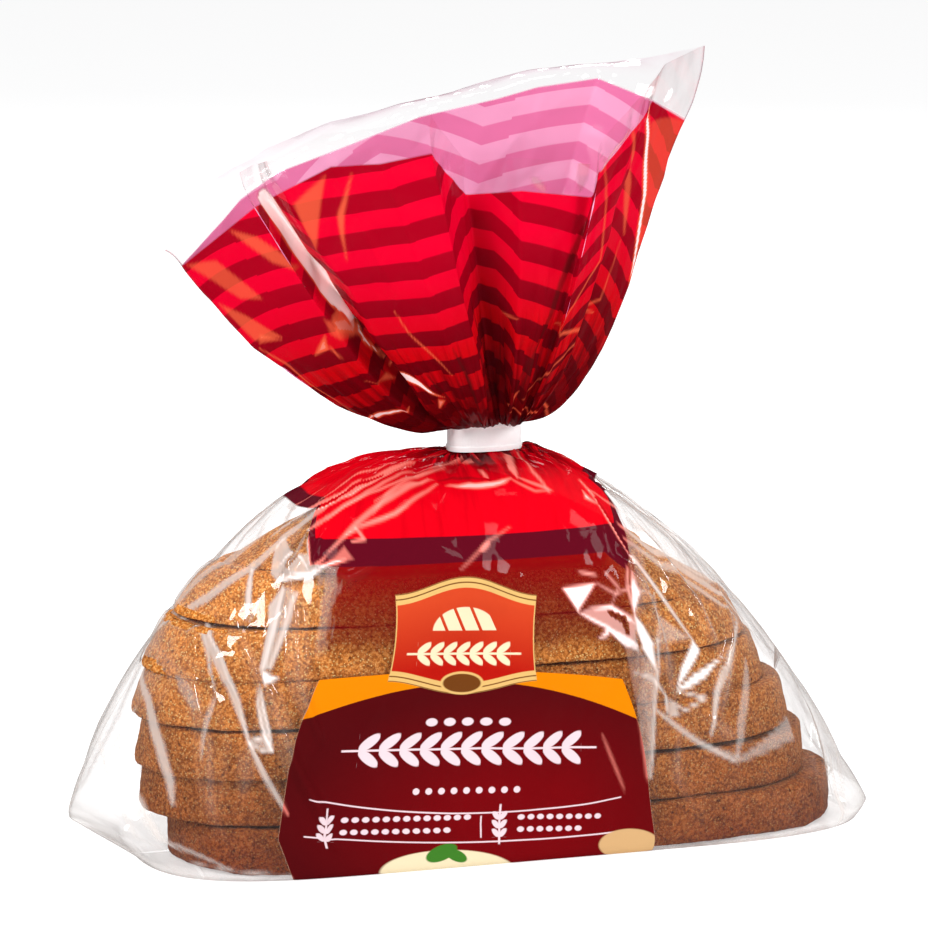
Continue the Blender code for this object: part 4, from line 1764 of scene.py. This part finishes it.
@dataclass
class BagMouth:
    """The bag above its clip, flaring into a wide open mouth with folds from the neck to the rim."""

    start: float = 113.0
    neck_width: float = 9.3
    neck_depth: float = 4.4
    print_rows: int = 176
    margin_rows: int = 12
    ease_rows: int = 25
    columns: int = 520
    spokes: tuple[Spoke, ...] = (
        Spoke((-38, 0, 111.5), (-62, 3, 131), (-83.0, 4, 160.6), (-87.9, 4, 164.9)),
        Spoke((-34, -9, 111.5), (-58, -12, 139), (-74.3, -8, 171.0), (-80, -9, 178)),
        Spoke((-28, -17, 113), (-50, -27, 145), (-68.8, -18, 178.6), (-73, -19, 188)),
        Spoke((-20, -13, 117), (-42, -17, 150), (-63.2, -11, 179.5), (-67, -12, 189)),
        Spoke((-20, -21, 115), (-42, -33, 150), (-62.8, -24, 183.2), (-67, -26, 192)),
        Spoke((-15, -24, 117), (-34, -42, 150), (-52.6, -35, 190.9), (-55, -37, 200)),
        Spoke((-10, -26, 117), (-26, -45, 150), (-41.1, -42, 192.2), (-43, -44, 202)),
        Spoke((-6, -26, 117), (-18, -45, 152), (-28.4, -45, 194.7), (-29, -46, 205)),
        Spoke((-3, -16, 120), (-8, -26, 150), (-13.2, -27, 180.7), (-14, -28, 190)),
        Spoke((0, -24, 117), (-1, -38, 148), (-1.4, -37, 182.7), (-1, -39, 192)),
        Spoke((6, -22, 117), (12, -34, 146), (20.0, -31, 179.2), (21, -32, 188)),
        Spoke((7, -25, 117), (13, -38, 150), (20.5, -37, 186.8), (21, -38, 196)),
        Spoke((12, -24, 116), (22, -30, 152), (33.4, -26, 196.3), (36, -27, 206)),
        Spoke((18, -14, 116), (27, -16, 156), (43.3, -12, 202.0), (47, -12, 212)),
        Spoke((38, 0, 112), (40, 2, 154), (58.7, 4, 194.1), (64.4, 6, 214.3)),
        Spoke((26, 10, 118), (36, 14, 158), (52.2, 14, 198.9), (60, 22, 211)),
        Spoke((14, 15, 120), (26, 26, 160), (41.0, 26, 203.7), (45, 36, 207)),
        Spoke((6, 17, 121), (14, 27, 160), (23.9, 28, 201.6), (28, 38, 205)),
        Spoke((2, 17, 121), (6, 27, 160), (12.0, 28, 198.7), (15, 38, 203)),
        Spoke((-4, 17, 121), (-8, 26, 158), (-10.2, 27, 194.7), (-7, 38, 198.5)),
        Spoke((-10, 15, 119), (-22, 22, 152), (-31.0, 24, 188.2), (-34, 34, 194)),
        Spoke((-18, 11, 117), (-38, 17, 146), (-52.4, 18, 182.5), (-54, 27, 188)),
        Spoke((-26, 7, 115), (-50, 12, 140), (-64.9, 13, 176.1), (-70, 20, 181)),
    )

    # The mouth's marks: painted highlights, partly the whitening of folds, and below 0 painted shade.
    marks: tuple[Mark, ...] = (
        Mark(0.5, 0, ((28, 38), (37.5, 33.5), (38.5, 30), (33.5, 35.5))),
        Mark(0.85, 0, ((2.5, 24.5), (18, 26), (34, 22.5), (31, 22), (19, 24))),
        Mark(0.65, 0, ((20, 51), (28, 56), (25.5, 51.5))),
        Mark(0.5, 0.8, ((26.5, 53), (27.5, 47.5))),
        Mark(0.65, 0, ((64, 25.5), (67, 23.5), (60, 21.5))),
        Mark(0.4, 0, ((6, 63.5), (12.5, 59), (3, 61.5))),
        Mark(0.5, 0, ((33.5, 59), (36.5, 57.5), (37.5, 51), (38.5, 46), (32, 56))),
        Mark(0.5, 0.7, ((68, 59), (70, 51.5), (81, 36))),
        Mark(0.5, 0, ((133.5, 46), (141, 48), (136.5, 46))),
        Mark(0.6, 0, ((137, 16.5), (148.5, 22.5), (144.5, 17))),
        Mark(0.7, 0.8, ((141.5, 15), (229.5, 10), (234.5, 14.5))),
        Mark(0.5, 1.2, ((1.5, 60.5), (3.5, 52.5), (3, 43.5), (6, 35), (0, 27.5))),
        Mark(0.42, 0, ((19.5, 92.5), (26.5, 88), (35, 74.5), (26, 80))),
        Mark(0.42, 0, ((68, 100.5), (55, 94), (52.5, 79), (60.5, 90))),
        Mark(0.5, 0, ((76, 100.5), (66, 89.5), (60.5, 75.5), (68, 89.5))),
        Mark(0.4, 0, ((1.5, 77), (13.5, 59.5), (2.5, 63))),
        Mark(0.3, 0, ((31, 61), (40, 50.5), (36, 49), (30, 56))),
        Mark(0.35, 0, ((1.5, 91), (10, 87), (16, 71.5), (9, 74.5))),
        Mark(0.6, 1.2, ((173, 89), (181, 94), (191.5, 98))),
        Mark(0.5, 1.0, ((161.5, 44), (216.5, 40))),
        Mark(0.4, 2.0, ((144, 86.5), (148.5, 82))),
        Mark(0.9, 2.4, ((206, 101), (226.5, 76), (233, 60.5), (234, 54))),
        Mark(0.25, 0, ((214, 94), (233.5, 101), (234, 86), (234, 65.5), (234, 52.5), (228, 75.5))),
        Mark(0.4, 3.0, ((192, 97), (214.5, 76), (221.5, 63.5))),
        Mark(0.5, 0.8, ((172, 95), (184, 79.5), (191, 62), (169.5, 44))),
        Mark(0.4, 0.8, ((220, 61), (218, 44), (181, 34.5), (151, 20))),
        Mark(-0.6, 2.6, ((173, 89), (166.5, 77), (161.5, 64), (156.5, 46), (149.5, 24.5))),
        Mark(-0.5, 2.0, ((112, 52.5), (116, 38), (106, 20))),
        Mark(-0.55, 1.6, ((86.5, 45.5), (90, 31.5), (91, 17.5))),
        Mark(-0.5, 1.6, ((132.5, 37), (130.5, 22.5), (119.5, 8.5))),
        Mark(-0.5, 1.4, ((153, 37), (145, 23.5), (136, 10))),
        Mark(-0.5, 1.6, ((65, 38.5), (70.5, 27), (72.5, 15))),
        Mark(0.96, 0, ((37, 94), (45, 92), (43, 75), (41.5, 60), (40, 50), (38, 52), (36, 60), (36, 75))),
        Mark(0.85, 1.0, ((37, 92), (37.5, 66), (38.5, 45), (40, 36))),
        Mark(0.8, 0.9, ((39, 58), (41, 52), (38, 45), (40, 38))),
        Mark(0.88, 0, ((40, 33), (54, 37), (60, 33.5), (68, 25), (64, 28), (54, 32.5))),
        Mark(0.35, 4.0, ((160, 98), (160, 81))),
    )

    def line(self, spoke: Spoke, turn: float) -> np.ndarray:
        """The points of one spoke from the neck to the rim.

        Args:
            spoke: the spoke.
            turn: its angle round the neck.

        Returns:
            The points, the print's end among them.
        """
        c, s = math.cos(turn), math.sin(turn)
        neck = np.array((c * self.neck_width, s * self.neck_depth, self.start))
        t = np.linspace(0, 1, self.print_rows)[:, None]
        first, second, edge, rim = (np.array(p) for p in (spoke.first, spoke.second, spoke.edge, spoke.rim))
        curve = (1 - t) ** 3 * neck + 3 * (1 - t) ** 2 * t * first
        curve = curve + 3 * (1 - t) * t * t * second + t**3 * edge
        t = np.linspace(0, 1, self.margin_rows + 1)[1:, None]
        run_on = edge + (edge - second) / np.linalg.norm(edge - second) * np.linalg.norm(rim - edge) * 0.5
        margin = (1 - t) ** 2 * edge + 2 * (1 - t) * t * run_on + t * t * rim
        return np.concatenate([curve, margin])

    def pleats(self, sheet: Sheet) -> np.ndarray:
        """Tent-shaped pleats that fan out from the clip and fade towards the rim.

        Args:
            sheet: the film.

        Returns:
            Rows by columns of heights.
        """
        chance = np.random.RandomState(8)
        turn = sheet.around / self.girth
        made = np.zeros(turn.shape)
        count = 52
        for i in range(count):
            middle = (i + chance.uniform(-0.35, 0.35)) / count
            wide = chance.uniform(0.006, 0.012)
            reach = chance.uniform(25, 60) * (1.7 if chance.uniform() < 0.25 else 1.0)
            tall = chance.uniform(0.8, 2.0) * chance.choice((-0.7, 1.0))
            off = np.abs((turn - middle + 0.5) % 1.0 - 0.5)
            profile = np.clip(sheet.down / 9, 0, 1) * np.clip(1 - sheet.down / reach, 0, 1) ** 0.8
            made += tall * profile * np.clip(1 - off / wide, 0, 1)
        return made

    def build(self, material: bpy.types.Material) -> bpy.types.Object:
        """Makes the mouth's film.

        Args:
            material: its finish.

        Returns:
            The piece.
        """
        count = len(self.spokes)
        rims = np.array([spoke.edge for spoke in self.spokes], float)
        gaps = np.linalg.norm(np.roll(rims, -1, 0) - rims, axis=1)
        starts = np.concatenate([[0], np.cumsum(gaps)])
        self.girth = float(starts[-1])
        turns = math.pi + 2 * math.pi * starts[:-1] / self.girth
        lines = np.array([self.line(spoke, turn) for spoke, turn in zip(self.spokes, turns)])
        around = np.linspace(0, self.girth, self.columns, endpoint=False)
        span = np.clip(np.searchsorted(starts, around, side="right") - 1, 0, count - 1)
        part = ((around - starts[span]) / gaps[span])[:, None, None]
        place = lines[span] * (1 - part) + lines[(span + 1) % count] * part
        turn = math.pi + 2 * math.pi * around / self.girth
        neck = np.stack([np.cos(turn) * self.neck_width, np.sin(turn) * self.neck_depth], 1)
        ease = (1 - smooth(np.arange(place.shape[1]) / self.ease_rows, 0, 1))[None, :, None]
        place[..., :2] += (neck[:, None] - place[:, :1, :2]) * ease
        place = place.transpose(1, 0, 2)
        down = np.cumsum(np.linalg.norm(np.diff(place, axis=0, prepend=place[:1]), axis=2), axis=0)
        sheet = Sheet(place, np.broadcast_to(around, down.shape).copy(), down, self.girth)
        calm = smooth(down, 2, 26)
        crumple = sheet.facets(16, 41) * 0.9 + sheet.facets(6, 43) * 0.22
        sheet.push(-crumple * calm)
        sheet.push(-self.pleats(sheet))
        crease = sheet.creases(0.6)
        rows = len(place)
        print_share = np.arange(rows) / (self.print_rows - 1)
        print_share = np.broadcast_to(print_share[:, None], down.shape)
        values = {"crease": crease, "print_share": print_share, "mark": sheet.marked(self.marks)}
        made = sheet.build("bag_mouth", material, sheet.place[..., 2], values, upwards=True)
        return report(made)


@dataclass
class Studio:
    """The pale floor, the soft lights and the camera, which stand at the same distance from the bag."""

    turn: float = -17.0
    elevation: float = 11.5
    distance: float = 1.3
    aim: tuple[float, float, float] = (0.0, 0.0, 0.1095)
    aside: float = 5.48
    below: float = 7.4
    lens: float = 184.08
    world: float = 0.42
    reflected: float = 0.2

    def outwards(self, turn: float, elevation: float) -> Vector:
        """The direction away from the bag at that angle round it, 0 in front, and that elevation."""
        a, e = math.radians(turn), math.radians(elevation)
        return Vector((math.sin(a) * math.cos(e), -math.cos(a) * math.cos(e), math.sin(e)))

    def camera(self) -> None:
        """Sets up the camera at the photograph's angle."""
        back = self.outwards(self.turn, self.elevation)
        a = math.radians(self.turn)
        right = Vector((math.cos(a), math.sin(a), 0))
        up = back.cross(right)
        lens = bpy.data.cameras.new("camera")
        lens.sensor_width = 36.0
        lens.lens = self.lens
        eye = bpy.data.objects.new("camera", lens)
        bpy.context.scene.collection.objects.link(eye)
        spot = Vector(self.aim) + back * self.distance - right * self.aside * MM - up * self.below * MM
        eye.matrix_world = Matrix.Translation(spot) @ Matrix((right, up, back)).transposed().to_4x4()
        bpy.context.scene.camera = eye

    def softbox(
        self, name: str, turn: float, elevation: float, size: tuple[float, float], power: float
    ) -> None:
        """Adds a soft light aimed at the bag.

        Args:
            name: the light's name.
            turn: its direction round the bag in degrees; 0 is in front.
            elevation: its height above the horizon in degrees.
            size: its width and height in metres.
            power: its power in watts.
        """
        out = self.outwards(turn, elevation)
        lamp = bpy.data.lights.new(name, "AREA")
        lamp.shape = "RECTANGLE"
        lamp.size, lamp.size_y = size
        lamp.energy = power
        box = bpy.data.objects.new(name, lamp)
        bpy.context.scene.collection.objects.link(box)
        facing = out.to_track_quat("Z", "Y").to_matrix().to_4x4()
        box.matrix_world = Matrix.Translation(Vector(self.aim) + out * self.distance) @ facing

    def build(self) -> None:
        """Makes the floor, the lights and the camera."""
        deselect()
        bpy.ops.mesh.primitive_plane_add(size=8.0, location=(0, 0, 0))
        floor = bpy.context.object
        floor.name = "floor"
        floor.data.materials.append(Floor().build())
        world = bpy.data.worlds.new("studio")
        world.use_nodes = True
        graph = Graph(world.node_tree)
        background = world.node_tree.nodes["Background"]
        background.inputs[0].default_value = (1, 1, 1, 1)
        path = graph.node("ShaderNodeLightPath")
        seen = Field(graph, path.outputs["Is Camera Ray"]) * (1 - self.world)
        glossy = Field(graph, path.outputs["Is Glossy Ray"]) * (self.world - self.reflected)
        graph.feed(background.inputs[1], self.world + seen - glossy)
        bpy.context.scene.world = world
        self.softbox("key", -55, 36, (0.3, 0.6), 12.5)
        self.softbox("fill", 38, 28, (0.25, 0.5), 8.8)
        self.softbox("top", -10, 78, (0.5, 0.4), 6.2)
        self.softbox("rear", 158, 34, (0.3, 0.5), 6)
        self.camera()
        bpy.context.scene.view_settings.view_transform = "Standard"


def main() -> None:
    """Builds the studio, the loaf, the bag and the clip's finish."""
    logging.basicConfig(level=logging.INFO, format="%(name)s %(message)s")
    Studio().build()
    slices = Loaf().build(Crust().build(), Crumb().build())
    body = BagBody().build(BodyFilm().build(), slices)
    mouth = BagMouth().build(MouthFilm().build())
    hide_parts("bag")
    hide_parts("bag")
    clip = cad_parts["clip"]
    clip.data.materials.clear()
    clip.data.materials.append(ClipPlastic().build())
    LOG.info("clip: dressed")


if __name__ == "__main__":
    main()
